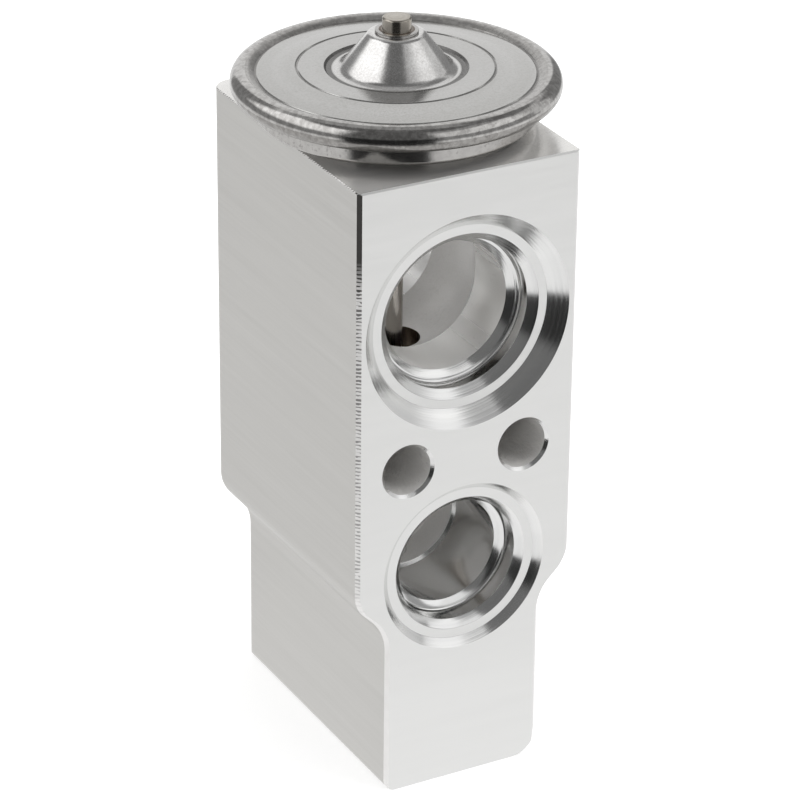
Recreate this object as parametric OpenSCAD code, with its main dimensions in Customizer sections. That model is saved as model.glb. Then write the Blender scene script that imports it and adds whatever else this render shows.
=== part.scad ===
// Thermostatic expansion valve of the block type, for a vehicle's air conditioning.
// Millimetres. +Z is up, the valve stands on its foot at z = 0, and the front face looks along -Y.
// The front holds the suction inlet and the outlet to the evaporator, the rear holds the suction
// outlet and the liquid inlet. The stroke axis runs up through the adjusting screw, the spring,
// the ball, the push rod and the power head.

/* [Block] */
// Width of the block, across the front face
block_w = 28.3; // [26.5:0.1:32]
// Depth of the block, from the front face to the rear face
block_d = 37.15; // [34:0.05:44]
// Height of the block, without the power head
block_h = 77.6; // [76.5:0.1:84]
// Width of the narrow foot below the shoulders
foot_w = 20.4; // [19.4:0.1:22]
// Height at which the flanks start to turn into the shoulders
shoulder_z = 27.2; // [24:0.1:32]
// Slope of the shoulders, from the vertical
shoulder_angle = 45; // [35:1:50]
// Outer rounding of the shoulders
shoulder_r = 4; // [3:0.1:4.5]
// Inner rounding of the shoulders, where they meet the foot
shoulder_fillet = 6; // [3:0.1:6.5]
// Rounding of the foot's lower right corner
foot_r = 3.2; // [2.4:0.1:3.2]
// Rounding of the foot's lower left corner
foot_left_r = 1.4; // [0.6:0.1:3.2]
// Rounding of the rear edges
rear_edge_r = 2.3; // [0.5:0.1:2.3]
// Chamfer of the front edges
front_edge_c = 0.45; // [0.3:0.05:0.6]
// Chamfer of the top front edge
top_edge_c = 0.35; // [0.1:0.02:0.4]

/* [Suction ports] */
// Height of the suction passage
suction_z = 59.1; // [58.9:0.1:60.4]
// Radius of the suction ports' mouth
suction_mouth_r = 13.15; // [12.2:0.05:13.2]
// Depth of the cone at the suction ports' mouth
suction_mouth_c = 1.86; // [0.8:0.02:1.9]
// Inner radius of the flat shelf behind that cone
suction_shelf_r = 10.2; // [9.9:0.05:10.2]
// Lead-in from the shelf to the seal's wall
suction_lead = 1.0; // [0.5:0.05:1.1]
// Depth of the seal's floor below the face
suction_floor = 4.7; // [4.4:0.1:5.2]
// Cone from the seal's floor into the passage
suction_throat = 0.75; // [0.3:0.05:0.8]
// Radius of the suction passage
suction_bore_r = 7.93; // [7:0.01:7.95]

/* [Outlet port] */
// Height of the outlet to the evaporator
outlet_z = 27.9; // [27.6:0.1:28]
// Radius of the outlet's mouth
outlet_mouth_r = 10.6; // [9.9:0.05:10.6]
// Depth of the cone at the outlet's mouth
outlet_mouth_c = 0.89; // [0.5:0.01:1]
// Inner radius of the outlet's shelf
outlet_shelf_r = 8.56; // [8.4:0.01:8.8]
// Lead-in from that shelf to the seal's wall
outlet_lead = 0.9; // [0.5:0.05:1]
// Depth of the outlet seal's floor
outlet_floor = 4.1; // [3.8:0.1:4.6]
// Cone from that floor into the passage
outlet_throat = 0.6; // [0.3:0.05:0.7]
// Radius of the outlet passage
outlet_bore_r = 6.65; // [6.4:0.01:6.7]
// Depth of the wider part of the outlet passage
outlet_bore_depth = 14.25; // [10:0.05:14.5]
// Radius of the narrower inner part of the outlet passage
outlet_end_r = 6.35; // [5.8:0.01:6.38]

/* [Liquid port] */
// Height of the liquid inlet in the rear of the foot
inlet_z = 12.5; // [12:0.1:13]
// Radius of the liquid inlet's mouth
inlet_mouth_r = 7.4; // [7:0.05:7.4]
// Depth of the cone at the liquid inlet's mouth
inlet_mouth_c = 0.7; // [0.4:0.05:0.75]
// Inner radius of the liquid inlet's shelf
inlet_shelf_r = 6.3; // [5.8:0.05:6.3]
// Lead-in from that shelf to the seal's wall
inlet_lead = 0.7; // [0.4:0.05:0.8]
// Depth of the liquid inlet seal's floor
inlet_floor = 4.1; // [3.8:0.1:4.6]
// Cone from that floor into the passage
inlet_throat = 0.5; // [0.3:0.05:0.6]
// Radius of the liquid passage
inlet_bore_r = 3.9; // [3:0.05:3.95]

/* [Bolt holes] */
// Height of the two bolt holes
bolt_z = 42.05; // [42:0.05:42.2]
// Distance between the two bolt holes
bolt_spacing = 15.1; // [14.8:0.1:17]
// Radius of the bolt holes
bolt_hole_r = 3.05; // [2.6:0.05:3.1]
// Chamfer at both ends of the bolt holes
bolt_chamfer = 0.35; // [0.1:0.05:0.4]

/* [Power head] */
// Distance from mid-depth of the block to the stroke axis, towards the front
axis_offset = 0.95; // [0:0.05:1.5]
// Outer radius of the power head's rim
head_r = 18.96; // [18.6:0.02:21]
// Radius of the rim's rounding
rim_r = 1.55; // [1.3:0.05:1.6]
// Height of the rim's crest above the outer ring groove
rim_crest = 0.4; // [0.1:0.05:0.6]
// Height of the outer ring groove above the block
disc_rise = 5.87; // [5.8:0.01:7]
// Rise of the disc from the outer to the inner ring groove
disc_crown = 0.55; // [0.1:0.05:0.6]
// Wall of the head's upper case
case_t = 1.1; // [0.8:0.05:1.2]
// Distance from the rim's outer edge in to the outer ring groove
outer_groove_inset = 2.86; // [2.7:0.02:3.2]
// Radius of the inner ring groove in the disc
inner_groove_r = 11.35; // [10:0.05:12]
// Radius of the groove round the foot of the dome
dome_groove_r = 8; // [7.8:0.05:8.6]
// Width and depth of the ring grooves
groove_w = 0.3; // [0.2:0.05:0.4]
// Radius of the dome's flat top
dome_top_r = 2.9; // [2.7:0.05:3.2]
// Radius of the dome where its flank ends
dome_foot_r = 5.8; // [5.2:0.05:6.2]
// Height of the dome's flat top above the disc
dome_h = 4.73; // [4:0.05:6]
// Radius of the charge plug
plug_r = 1.67; // [1.6:0.01:2]
// Height of the charge plug above the dome
plug_h = 1.8; // [1.2:0.1:2.5]
// Distance from the rim's outer edge in to the lower case's drum
drum_inset = 2.66; // [2.6:0.02:2.9]
// Gap between the drum and the block
drum_gap = 0.85; // [0.5:0.05:0.9]
// Radius of the hub that sits on the block
hub_r = 13.6; // [12.9:0.05:13.9]
// Outer radius of the neck's screw thread
neck_r = 10; // [9.6:0.05:10.2]
// Length of the neck in the block
neck_len = 7.6; // [5:0.1:8]
// Inner radius of the neck
neck_bore_r = 8.2; // [7.6:0.05:8.4]
// Radius of the sensing chamber below the neck
sensing_r = 9.38; // [9:0.02:9.5]
// Thickness of the diaphragm
diaphragm_t = 0.16; // [0.1:0.01:0.2]
// Radius of the plate under the diaphragm
plate_r = 10.4; // [9.8:0.05:10.6]
// Thickness of the plate under the diaphragm
plate_t = 1.3; // [1:0.05:1.4]

/* [Valve train] */
// Radius of the push rod
rod_r = 1; // [0.8:0.05:1.1]
// Radius of the rod seal's pocket in the floor of the suction passage
seal_pocket_r = 3.1; // [2.8:0.05:3.2]
// Height of that pocket's floor
seal_pocket_z = 45; // [44:0.1:46]
// Opening stroke of the ball
lift = 0.7; // [0.4:0.05:0.8]
// Radius of the valve ball
ball_r = 2.4; // [2.3:0.05:2.45]
// Radius of the orifice in the seat
orifice_r = 1.6; // [1.4:0.05:1.6]
// Thickness of the seat ring
seat_t = 1.7; // [1.5:0.05:1.8]
// Outer radius of the seat ring
seat_r = 3.2; // [3:0.05:3.6]
// Wall between the seat ring and the outlet passage
seat_web = 1.25; // [1:0.05:1.4]
// Radius of the valve chamber
chamber_r = 6.2; // [6.1:0.05:6.4]
// Outer radius of the ball carrier's flange
carrier_r = 5; // [4.6:0.05:5.2]
// Wire diameter of the valve spring
wire_d = 0.9; // [0.6:0.05:0.95]
// Radius of the valve spring, at the middle of its wire
spring_r = 3.7; // [3.6:0.05:3.9]
// Open turns of the valve spring
spring_turns = 3.5; // [2.5:0.5:4]

/* [Adjusting screw] */
// Outer radius of the adjusting screw's thread
screw_r = 6.7; // [6.6:0.05:6.75]
// Pitch of that thread, and the travel of one turn
screw_pitch = 0.8; // [0.5:0.05:0.8]
// Depth of the screw below the foot
screw_recess = 0.8; // [0.6:0.05:0.9]
// Length of the screw's thread
screw_thread = 2.8; // [2.4:0.1:3]
// Width across the flats of the hex socket
socket_w = 5; // [4:0.5:6]
// Depth of the hex socket
socket_depth = 3; // [2:0.1:3.2]
// Section radius of the screw's seal
screw_seal_r = 0.6; // [0.5:0.02:0.64]

/* [Hidden] */
$fn = 96;

// Small values that many pieces share
over = 0.5; // how far a cut runs past the face that it opens
fit = 0.05; // radial clearance of a sliding or screwed fit
snug = 0.02; // clearance of a piece that is pressed or clamped in place
port_corner = 0.5; // rounding in the corner of a port's seal floor

// The origin stays in the middle of the outer box, whichever of head and block reaches further
half_w = block_w / 2;
half_d = block_d / 2;
box_front = max(half_d, head_r + axis_offset);
box_rear = max(half_d, head_r - axis_offset);
mid_y = (box_front - box_rear) / 2;
front_y = mid_y - half_d;
rear_y = mid_y + half_d;
axis_y = mid_y - axis_offset;

// Shoulder outline, from the flank down to the foot
turn_x = 1 - cos(shoulder_angle);
slope_x = (block_w - foot_w) / 2 - (shoulder_r + shoulder_fillet) * turn_x;
slope_len = slope_x / sin(shoulder_angle);
slope_top = [
    half_w - shoulder_r * turn_x,
    shoulder_z - shoulder_r * sin(shoulder_angle)
];
slope_end = slope_top - slope_len * [sin(shoulder_angle), cos(shoulder_angle)];
fillet_mid = slope_end + shoulder_fillet * [cos(shoulder_angle), -sin(shoulder_angle)];
foot_top = fillet_mid[1];

// Ends of the bores that meet the stroke axis
sensing_drop = 0.25; // from the middle of the suction passage down to the middle of the round bore end
drill_past = 0.6; // how far the outlet's full radius runs past the stroke axis
drill_angle = 59; // half of the drill's point angle
orifice_room = 0.2; // how much wider the passage above the seat is than the orifice

// Heights along the stroke axis, from the outlet passage down to the screw
counterbore_z = outlet_z - outlet_end_r - seat_web;
chamber_top = counterbore_z - seat_t;
seat_lip = 0.6; // width of the seat's cone outside the ring that the ball closes
seat_mouth_r = ball_r * cos(45) + seat_lip;
ball_z = chamber_top + seat_mouth_r - 2 * ball_r * cos(45) - fit / cos(45);
cup_wall = 0.6;
cup_r = ball_r + cup_wall;
cup_rim_h = 0.65; // height of the cup's rim above the ring on which the ball lies
cup_wall_z = ball_z - ball_r * cos(45) + cup_rim_h;
flange_t = 1;
flange_drop = 0.85; // from the ball's lowest point down to the carrier's flange
flange_z = ball_z - ball_r - flange_drop;
clip_strip = 0.3; // thickness of the damping clip's sheet
clip_leg_h = 2.6; // height of its legs
clip_play = 0.1; // room round the cup, and between the clip's ring and the flange's edge
clip_gap = 0.15; // distance from the legs to the chamber's wall
spring_top = flange_z - flange_t;
screw_travel = screw_pitch / 2;
screw_mouth_c = 0.3; // chamfer of the screw's hole
collar_room = 0.1; // room past each end of the screw's travel
collar_len = 2 * screw_travel + 2 * collar_room;
thread_top = screw_recess + screw_thread;
groove_z = thread_top + collar_len;
seal_groove_w = 2 * screw_seal_r + 2 * fit;
collar_r = chamber_r - 2 * fit;
groove_r = chamber_r - 2 * screw_seal_r - snug;
groove_web = 0.6; // wall between the seal's groove and the spring
spring_foot = groove_z + seal_groove_w + groove_web;
chamber_step = thread_top + screw_travel + collar_room;

// Heights and radii in the power head
outer_groove_r = head_r - outer_groove_inset;
drum_r = head_r - drum_inset;
disc_z = block_h + disc_rise;
crown_z = disc_z + disc_crown;
moat_depth = 0.25; // depth of the ring round the foot of the dome
moat_z = crown_z - moat_depth;
dome_z = disc_z + dome_h;
rim_z = disc_z + rim_crest - rim_r;
lip_t = 0.2; // thickness of the rim's edge, turned in under the flange
lip_reach = 0.25; // how far that edge reaches in under the flange
gas_gap = 0.3; // space between the diaphragm and the upper case
diaphragm_z = disc_z - case_t - gas_gap - diaphragm_t;
clamp_r = head_r - rim_r - lip_t;
flange_low = rim_z - rim_r + lip_t;
stop_gap = 0.1; // room under the plate at full stroke
stop_z = diaphragm_z - plate_t - lift - stop_gap;
drum_wall = 1.1;
drum_corner = 0.55; // rounding of the drum's corners
plug_land = 0.35; // ring of the plug's foot that lies on the dome
plug_flange = 0.83; // how far the plug's welding collar stands out
plug_margin = 0.1; // from the brow's middle to the edge of the dome's flat
brow_r = 0.8; // rounding between the dome's flat and its flank
sweep_r = 1.6; // rounding between the flank and the disc
boss_r = 2.4; // boss under the plate, which holds the rod
boss_len = 2.6;
boss_taper = 1;
plate_edge = 0.3; // chamfer of the plate
rod_top = diaphragm_z - plate_t / 2;
rod_foot = ball_z + ball_r + snug;
neck_seal_recess = 2.2;

// Points on an arc, from one angle to another
function arc(mid, r, from, to, steps = 8) = [
    for (i = [0:steps]) mid + r * [
        cos(from + (to - from) * i / steps),
        sin(from + (to - from) * i / steps)
    ]
];

// Places what stands on the stroke axis
module on_axis(z = 0) translate([0, axis_y, z]) children();

// Half of the block's outline as seen from the front: flank, shoulder, foot and lower corner
function half_outline(corner_r) = concat(
    [[half_w, block_h]],
    arc([half_w - shoulder_r, shoulder_z], shoulder_r, 0, -shoulder_angle),
    arc(fillet_mid, shoulder_fillet, 180 - shoulder_angle, 180),
    arc([foot_w / 2 - corner_r, corner_r], corner_r, 0, -90, 12)
);

// Waste outside the rounded rear edge of a wall, with x pointing out of the block
module rear_edge_waste() polygon(concat(
    [[over, -rear_edge_r], [over, over], [-rear_edge_r, over]],
    arc([-rear_edge_r, -rear_edge_r], rear_edge_r, 90, 0)
));

// Waste outside the chamfered front edge of a wall, or of the top
module front_edge_waste(size) polygon([
    [-size - over, -over], [over, -over], [over, size + over]
]);

// Cuts the edges of a pair of walls, between two heights
module edge_cut(wall_x, low, high) {
    for (side = [0, 1]) mirror([side, 0, 0]) {
        translate([wall_x, rear_y, low]) linear_extrude(high - low) rear_edge_waste();
        translate([wall_x, front_y, low]) linear_extrude(high - low) front_edge_waste(front_edge_c);
    }
}

// The bar in its outline, with its rear edges rounded and its front edges chamfered
module bar() {
    left = half_outline(foot_left_r);
    mirrored = [for (i = [len(left) - 1:-1:0]) [-left[i][0], left[i][1]]];
    difference() {
        translate([0, rear_y, 0]) rotate([90, 0, 0]) linear_extrude(block_d)
            polygon(concat(half_outline(foot_r), mirrored));
        edge_cut(half_w, shoulder_z, block_h + over);
        edge_cut(foot_w / 2, -over, foot_top);
        translate([-block_w, front_y, block_h]) rotate([90, 0, 90]) linear_extrude(2 * block_w)
            polygon([[-over, -top_edge_c - over], [-over, over], [top_edge_c + over, over]]);
    }
}

// Waste of one turned port: mouth cone, shelf, lead-in, seal wall, floor, throat and passage
module port(mouth_r, mouth_c, shelf_r, lead, floor_z, throat, bore_r, reach) {
    wall_r = shelf_r - lead;
    corner = min(port_corner, wall_r - bore_r - throat);
    rotate_extrude() {
        polygon([
            [0, -over], [mouth_r, -over], [mouth_r, 0], [mouth_r - mouth_c, mouth_c],
            [shelf_r, mouth_c], [wall_r, mouth_c + lead], [wall_r, floor_z - corner],
            [wall_r - corner, floor_z], [bore_r + throat, floor_z],
            [bore_r, floor_z + throat], [bore_r, reach], [0, reach]
        ]);
        translate([wall_r - corner, floor_z - corner]) circle(corner);
    }
}

module from_front(z) translate([0, front_y, z]) rotate([-90, 0, 0]) children();

module from_rear(z) translate([0, rear_y, z]) rotate([90, 0, 0]) children();

module suction_port() {
    port(suction_mouth_r, suction_mouth_c, suction_shelf_r, suction_lead,
        suction_floor, suction_throat, suction_bore_r, half_d + over);
}

// The outlet is bored in two steps and ends in the drill's point, just past the stroke axis
module outlet_port() {
    end_depth = axis_y - front_y + drill_past;
    port(outlet_mouth_r, outlet_mouth_c, outlet_shelf_r, outlet_lead,
        outlet_floor, outlet_throat, outlet_bore_r, outlet_bore_depth);
    cylinder(h = end_depth, r = outlet_end_r);
    translate([0, 0, end_depth]) cylinder(h = outlet_end_r / tan(drill_angle), r1 = outlet_end_r, r2 = 0);
}

module inlet_port() {
    port(inlet_mouth_r, inlet_mouth_c, inlet_shelf_r, inlet_lead,
        inlet_floor, inlet_throat, inlet_bore_r, rear_y - axis_y - chamber_r / 2);
}

module bolt_hole() {
    translate([0, 0, -over]) cylinder(h = block_d + 2 * over, r = bolt_hole_r);
    for (end = [0, 1]) translate([0, 0, end * block_d]) mirror([0, 0, end]) translate([0, 0, -over])
        cylinder(h = bolt_chamfer + over, r1 = bolt_hole_r + bolt_chamfer + over, r2 = bolt_hole_r);
}

// Waste bored down the stroke axis from the top, and up from the foot
module axial_bores() {
    nose_z = suction_z - sensing_drop;
    translate([0, 0, nose_z]) sphere(sensing_r);
    translate([0, 0, nose_z]) cylinder(h = block_h - nose_z, r = sensing_r);
    translate([0, 0, block_h - neck_len - 1]) cylinder(h = neck_len + 1 + over, r = neck_r);
    translate([0, 0, block_h - neck_seal_recess])
        cylinder(h = neck_seal_recess + over, r1 = neck_r, r2 = neck_r + neck_seal_recess + over);
    translate([0, 0, seal_pocket_z]) cylinder(h = suction_z - seal_pocket_z, r = seal_pocket_r);
    translate([0, 0, outlet_z]) cylinder(h = seal_pocket_z + over - outlet_z, r = rod_r + fit);
    translate([0, 0, counterbore_z - over]) cylinder(h = outlet_z - counterbore_z, r = orifice_r + orifice_room);
    translate([0, 0, chamber_top - over]) cylinder(h = seat_t + over, r = seat_r);
    translate([0, 0, chamber_step - over]) cylinder(h = chamber_top - chamber_step + over, r = chamber_r);
    translate([0, 0, -over]) cylinder(h = chamber_step + over, r = screw_r);
    translate([0, 0, -over])
        cylinder(h = over + screw_mouth_c, r1 = screw_r + screw_mouth_c + over, r2 = screw_r);
}

module valve_body() {
    color("silver") difference() {
        bar();
        from_front(suction_z) suction_port();
        from_rear(suction_z) suction_port();
        from_front(outlet_z) outlet_port();
        from_rear(inlet_z) inlet_port();
        for (side = [-1, 1]) translate([side * bolt_spacing / 2, 0, 0]) from_front(bolt_z) bolt_hole();
        on_axis() axial_bores();
    }
}

// Lower half of the power head: clamping flange, drum, hub and threaded neck in one pressing
module lower_case() {
    corner = drum_corner;
    neck_out = neck_r - fit;
    color("lightgray") on_axis() rotate_extrude() polygon(concat(
        [[clamp_r, diaphragm_z], [clamp_r, flange_low]],
        arc([drum_r + corner, flange_low - corner], corner, 90, 180, 6),
        arc([drum_r - corner, block_h + drum_gap + corner], corner, 0, -90, 6),
        [
            [hub_r, block_h + drum_gap], [hub_r, block_h], [neck_out, block_h],
            [neck_out, block_h - neck_len + 0.5], [neck_out - 0.5, block_h - neck_len],
            [neck_bore_r, block_h - neck_len], [neck_bore_r, stop_z]
        ],
        arc([drum_r - drum_wall - corner, stop_z + corner], corner, -90, 0, 6),
        [[drum_r - drum_wall, diaphragm_z]]
    ));
}

// One ring groove, seen in section, at a radius and a height
function groove(r, z) = [[r - groove_w, z], [r, z - groove_w / 2], [r + groove_w, z]];

// Upper half of the power head: dome, grooved disc and the rim rolled round the lower case
module upper_case() {
    brow_mid = [dome_top_r - plug_margin, dome_z - brow_r];
    sweep_mid = [dome_foot_r + sweep_r, moat_z + sweep_r];
    gap = sweep_mid - brow_mid;
    flank_angle = atan2(-gap[1], gap[0]) + asin((brow_r + sweep_r) / norm(gap));
    wall = case_t;
    stem_r = plug_r - plug_land;
    color("lightgray") on_axis() rotate_extrude() polygon(concat(
        [[stem_r, dome_z]],
        arc(brow_mid, brow_r, 90, 90 - flank_angle),
        arc(sweep_mid, sweep_r, 270 - flank_angle, 270),
        [[dome_groove_r, moat_z], [dome_groove_r + moat_depth, crown_z]],
        groove(inner_groove_r, crown_z), groove(outer_groove_r, disc_z),
        arc([head_r - rim_r, rim_z], rim_r, 120, -90, 20),
        [
            [clamp_r - lip_reach, rim_z - rim_r], [clamp_r - lip_reach, flange_low - snug],
            [clamp_r + snug, flange_low - snug], [clamp_r + snug, diaphragm_z + diaphragm_t],
            [drum_r - drum_wall, diaphragm_z + diaphragm_t], [drum_r - drum_wall - gas_gap, disc_z - wall],
            [inner_groove_r, crown_z - wall]
        ],
        arc(sweep_mid, sweep_r + wall, 270, 270 - flank_angle),
        [[brow_mid[0] - 0.9, dome_z - wall], [stem_r, dome_z - wall]]
    ));
}

// Thin corrugated disc, clamped at its edge between the two halves of the head
module diaphragm() {
    waves = 2;
    swing = 0.22;
    steps = 12 * waves;
    wave_in = plate_r + over;
    wave_out = drum_r - drum_wall - lip_t;
    crest = [
        for (i = [0:steps]) [
            wave_in + (wave_out - wave_in) * i / steps,
            diaphragm_z + swing * sin(360 * waves * i / steps)
        ]
    ];
    rise = [0, diaphragm_t];
    color("gainsboro") on_axis() rotate_extrude() polygon(concat(
        [[0, diaphragm_z]], crest, [[clamp_r, diaphragm_z], [clamp_r, diaphragm_z] + rise],
        [for (i = [steps:-1:0]) crest[i] + rise], [[0, diaphragm_z] + rise]
    ));
}

// Plate that carries the diaphragm's push to the rod, and stops on the lower case at full stroke
module diaphragm_plate() {
    socket_r = rod_r + snug;
    under = diaphragm_z - plate_t;
    color("darkgray") on_axis() rotate_extrude() polygon([
        [0, diaphragm_z], [plate_r - plate_edge, diaphragm_z], [plate_r, diaphragm_z - plate_edge],
        [plate_r, under], [boss_r + boss_taper, under], [boss_r, under - boss_taper],
        [boss_r, under - boss_len], [socket_r, under - boss_len], [socket_r, rod_top], [0, rod_top]
    ]);
}

// Plug that closes the charged head, with its welding collar and its stem in the dome
module charge_plug() {
    collar = 0.3;
    edge = 0.15;
    stem = case_t + 0.4;
    stem_out = plug_r - plug_land - snug;
    color("silver") on_axis(dome_z) rotate_extrude() polygon([
        [0, -stem], [stem_out, -stem], [stem_out, 0],
        [plug_r + plug_flange, 0], [plug_r + plug_flange, collar],
        [plug_r, collar], [plug_r, plug_h - edge], [plug_r - edge, plug_h], [0, plug_h]
    ]);
}

// Round seal, at the height of its middle
module ring_seal(mid_r, section_r) rotate_extrude() translate([mid_r, 0]) circle(section_r);

// Fills the corner between the neck, the hub and the cone in the top of the block
module head_seal() {
    leg = neck_seal_recess + fit;
    inscribed = leg * (1 - cos(45));
    color("dimgray") on_axis(block_h - inscribed) ring_seal(neck_r - fit + inscribed, inscribed - snug);
}

module push_rod() {
    tip = 0.2;
    color("gray") on_axis() rotate_extrude() polygon([
        [0, rod_foot], [rod_r - tip, rod_foot], [rod_r, rod_foot + tip],
        [rod_r, rod_top - tip], [rod_r - tip, rod_top - snug], [0, rod_top - snug]
    ]);
}

rod_seal_section = (seal_pocket_r - rod_r) / 2 - fit;

module rod_seal() {
    color("dimgray") on_axis(seal_pocket_z + rod_seal_section + snug)
        ring_seal((seal_pocket_r + rod_r) / 2, rod_seal_section);
}

// Toothed washer, pressed into the pocket over the rod seal
module rod_seal_retainer() {
    thick = 0.5;
    teeth = 6;
    color("silver") on_axis(seal_pocket_z + 2 * rod_seal_section + 2 * snug) difference() {
        cylinder(h = thick, r = seal_pocket_r - snug);
        translate([0, 0, -over]) cylinder(h = thick + 2 * over, r = rod_r + 0.4);
        for (i = [0:teeth - 1]) rotate(i * 360 / teeth) translate([rod_r + 0.9, -0.2, -over])
            cube([seal_pocket_r, 0.4, thick + 2 * over]);
    }
}

// Hard ring pressed up into the block, with the cone that the ball closes
module valve_seat() {
    color("silver") on_axis(chamber_top) rotate_extrude() polygon([
        [seat_mouth_r, 0], [seat_r - snug, 0], [seat_r - snug, seat_t],
        [orifice_r, seat_t], [orifice_r, seat_mouth_r - orifice_r]
    ]);
}

module valve_ball() color("gainsboro") on_axis(ball_z) sphere(ball_r);

// Cup that holds the ball, with a flange on the spring and a spigot inside it
module ball_carrier() {
    rest_z = ball_z - 2 * ball_r * cos(45);
    cone_foot = 0.5;
    spigot_r = spring_r - wire_d / 2 - 0.3;
    spigot_len = 2.4;
    color("darkgray") on_axis() rotate_extrude() polygon([
        [0, rest_z + cone_foot - snug / cos(45)], [cone_foot, rest_z + cone_foot - snug / cos(45)],
        [cup_wall_z - rest_z, cup_wall_z - snug / cos(45)], [cup_r, cup_wall_z - snug / cos(45)],
        [cup_r, flange_z], [carrier_r, flange_z], [carrier_r, spring_top], [spigot_r, spring_top],
        [spigot_r, spring_top - spigot_len + 0.4], [spigot_r - 0.4, spring_top - spigot_len],
        [0, spring_top - spigot_len]
    ]);
}

// Spring clip on the carrier, whose legs rub on the chamber's wall and damp the ball
module damping_clip() {
    strip = clip_strip;
    legs = 3;
    leg_span = 26;
    inner = cup_r + clip_play;
    ring_out = carrier_r - clip_play;
    leg_out = chamber_r - clip_gap;
    color("silver") on_axis(flange_z) {
        difference() {
            cylinder(h = strip, r = ring_out);
            translate([0, 0, -over]) cylinder(h = strip + 2 * over, r = inner);
        }
        for (i = [0:legs - 1]) rotate(i * 360 / legs - 90 - leg_span / 2) rotate_extrude(angle = leg_span)
            polygon([
                [ring_out - strip, 0], [ring_out, 0],
                [leg_out, clip_leg_h], [leg_out - strip, clip_leg_h],
                [ring_out - strip, strip]
            ]);
    }
}

// Middle line of the spring: closed end turns and open turns between them
end_turns = 0.75;
close_pitch = wire_d + 0.02;
spring_low = spring_foot + wire_d / 2;
spring_high = spring_top - wire_d / 2;
open_rise = spring_high - spring_low - 2 * end_turns * close_pitch;
coil_turns = spring_turns + 2 * end_turns;
function coil_z(t) =
    t < end_turns ? spring_low + t * close_pitch
    : t > coil_turns - end_turns ? spring_high - (coil_turns - t) * close_pitch
    : spring_low + end_turns * close_pitch + (t - end_turns) * open_rise / spring_turns;

// Wire swept along the helix as one closed skin
module valve_spring() {
    sides = 10;
    per_turn = 24;
    rings = round(coil_turns * per_turn);
    skin = [
        for (i = [0:rings], k = [0:sides - 1])
            let (turn = coil_turns * i / rings, around = 360 * turn, a = 360 * k / sides)
            let (r = spring_r + wire_d / 2 * cos(a))
            [r * cos(around), r * sin(around), coil_z(turn) + wire_d / 2 * sin(a)]
    ];
    walls = [
        for (i = [0:rings - 1], k = [0:sides - 1])
            let (n = (k + 1) % sides, low = i * sides, high = (i + 1) * sides)
            each [[low + k, low + n, high + n], [low + k, high + n, high + k]]
    ];
    first = [for (k = [sides - 1:-1:0]) k];
    last = [for (k = [0:sides - 1]) rings * sides + k];
    color("gray") on_axis() polyhedron(points = skin, faces = concat([first], walls, [last]));
}

// Screw that sets the spring, with its hex socket in the foot and a groove for its seal
module adjusting_screw() {
    edge = 0.4;
    thread_out = screw_r - fit;
    guide_r = spring_r - wire_d / 2 - 0.3;
    guide_len = 1.1;
    color("silver") on_axis() difference() {
        rotate_extrude() polygon([
            [0, screw_recess], [thread_out - edge, screw_recess], [thread_out, screw_recess + edge],
            [thread_out, thread_top], [collar_r, thread_top], [collar_r, groove_z],
            [groove_r, groove_z], [groove_r, groove_z + seal_groove_w],
            [collar_r, groove_z + seal_groove_w], [collar_r, spring_foot], [guide_r, spring_foot],
            [guide_r - edge, spring_foot + guide_len], [0, spring_foot + guide_len]
        ]);
        translate([0, 0, screw_recess - over]) cylinder(h = socket_depth + over, d = socket_w / cos(30), $fn = 6);
    }
}

module adjuster_seal() {
    color("dimgray") on_axis(groove_z + seal_groove_w / 2)
        ring_seal(groove_r + screw_seal_r + snug / 2, screw_seal_r - snug / 2);
}

valve_body();
lower_case();
upper_case();
diaphragm();
diaphragm_plate();
charge_plug();
head_seal();
push_rod();
rod_seal();
rod_seal_retainer();
valve_seat();
valve_ball();
ball_carrier();
damping_clip();
valve_spring();
adjusting_screw();
adjuster_seal();
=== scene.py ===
"""Looks of a block-type thermostatic expansion valve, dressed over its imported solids."""

import logging
import math
from collections.abc import Iterable, Sequence
from dataclasses import dataclass, field
from enum import Enum, IntEnum
from typing import ClassVar

import bmesh
import bpy
from mathutils import Matrix, Vector


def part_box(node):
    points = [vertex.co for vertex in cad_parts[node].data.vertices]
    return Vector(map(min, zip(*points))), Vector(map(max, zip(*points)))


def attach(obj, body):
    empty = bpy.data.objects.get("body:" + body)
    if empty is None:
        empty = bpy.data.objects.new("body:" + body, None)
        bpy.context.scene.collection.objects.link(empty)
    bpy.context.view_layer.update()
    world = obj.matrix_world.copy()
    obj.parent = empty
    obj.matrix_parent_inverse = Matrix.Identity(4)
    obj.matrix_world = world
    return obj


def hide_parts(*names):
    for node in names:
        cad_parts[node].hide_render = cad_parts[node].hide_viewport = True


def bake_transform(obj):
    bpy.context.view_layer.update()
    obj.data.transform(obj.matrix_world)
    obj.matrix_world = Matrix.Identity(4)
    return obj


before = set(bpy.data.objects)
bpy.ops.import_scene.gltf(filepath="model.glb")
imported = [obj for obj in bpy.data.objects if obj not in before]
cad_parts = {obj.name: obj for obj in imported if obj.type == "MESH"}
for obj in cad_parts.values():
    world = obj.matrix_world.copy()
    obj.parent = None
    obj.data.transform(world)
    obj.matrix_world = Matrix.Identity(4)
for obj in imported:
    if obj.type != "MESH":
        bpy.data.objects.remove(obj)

MM = 0.001
LOG = logging.getLogger("expansion_valve")
Point2 = tuple[float, float]
Triple = tuple[float, float, float]
Node = bpy.types.Node
Socket = bpy.types.NodeSocket
Piece = bpy.types.Object
Inputs = dict[str, float | None]

AXIS_Y = -0.2825
AXIS_CENTRE = (0.0, AXIS_Y * MM, 0.0)
BLOCK_H = 77.6


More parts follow.
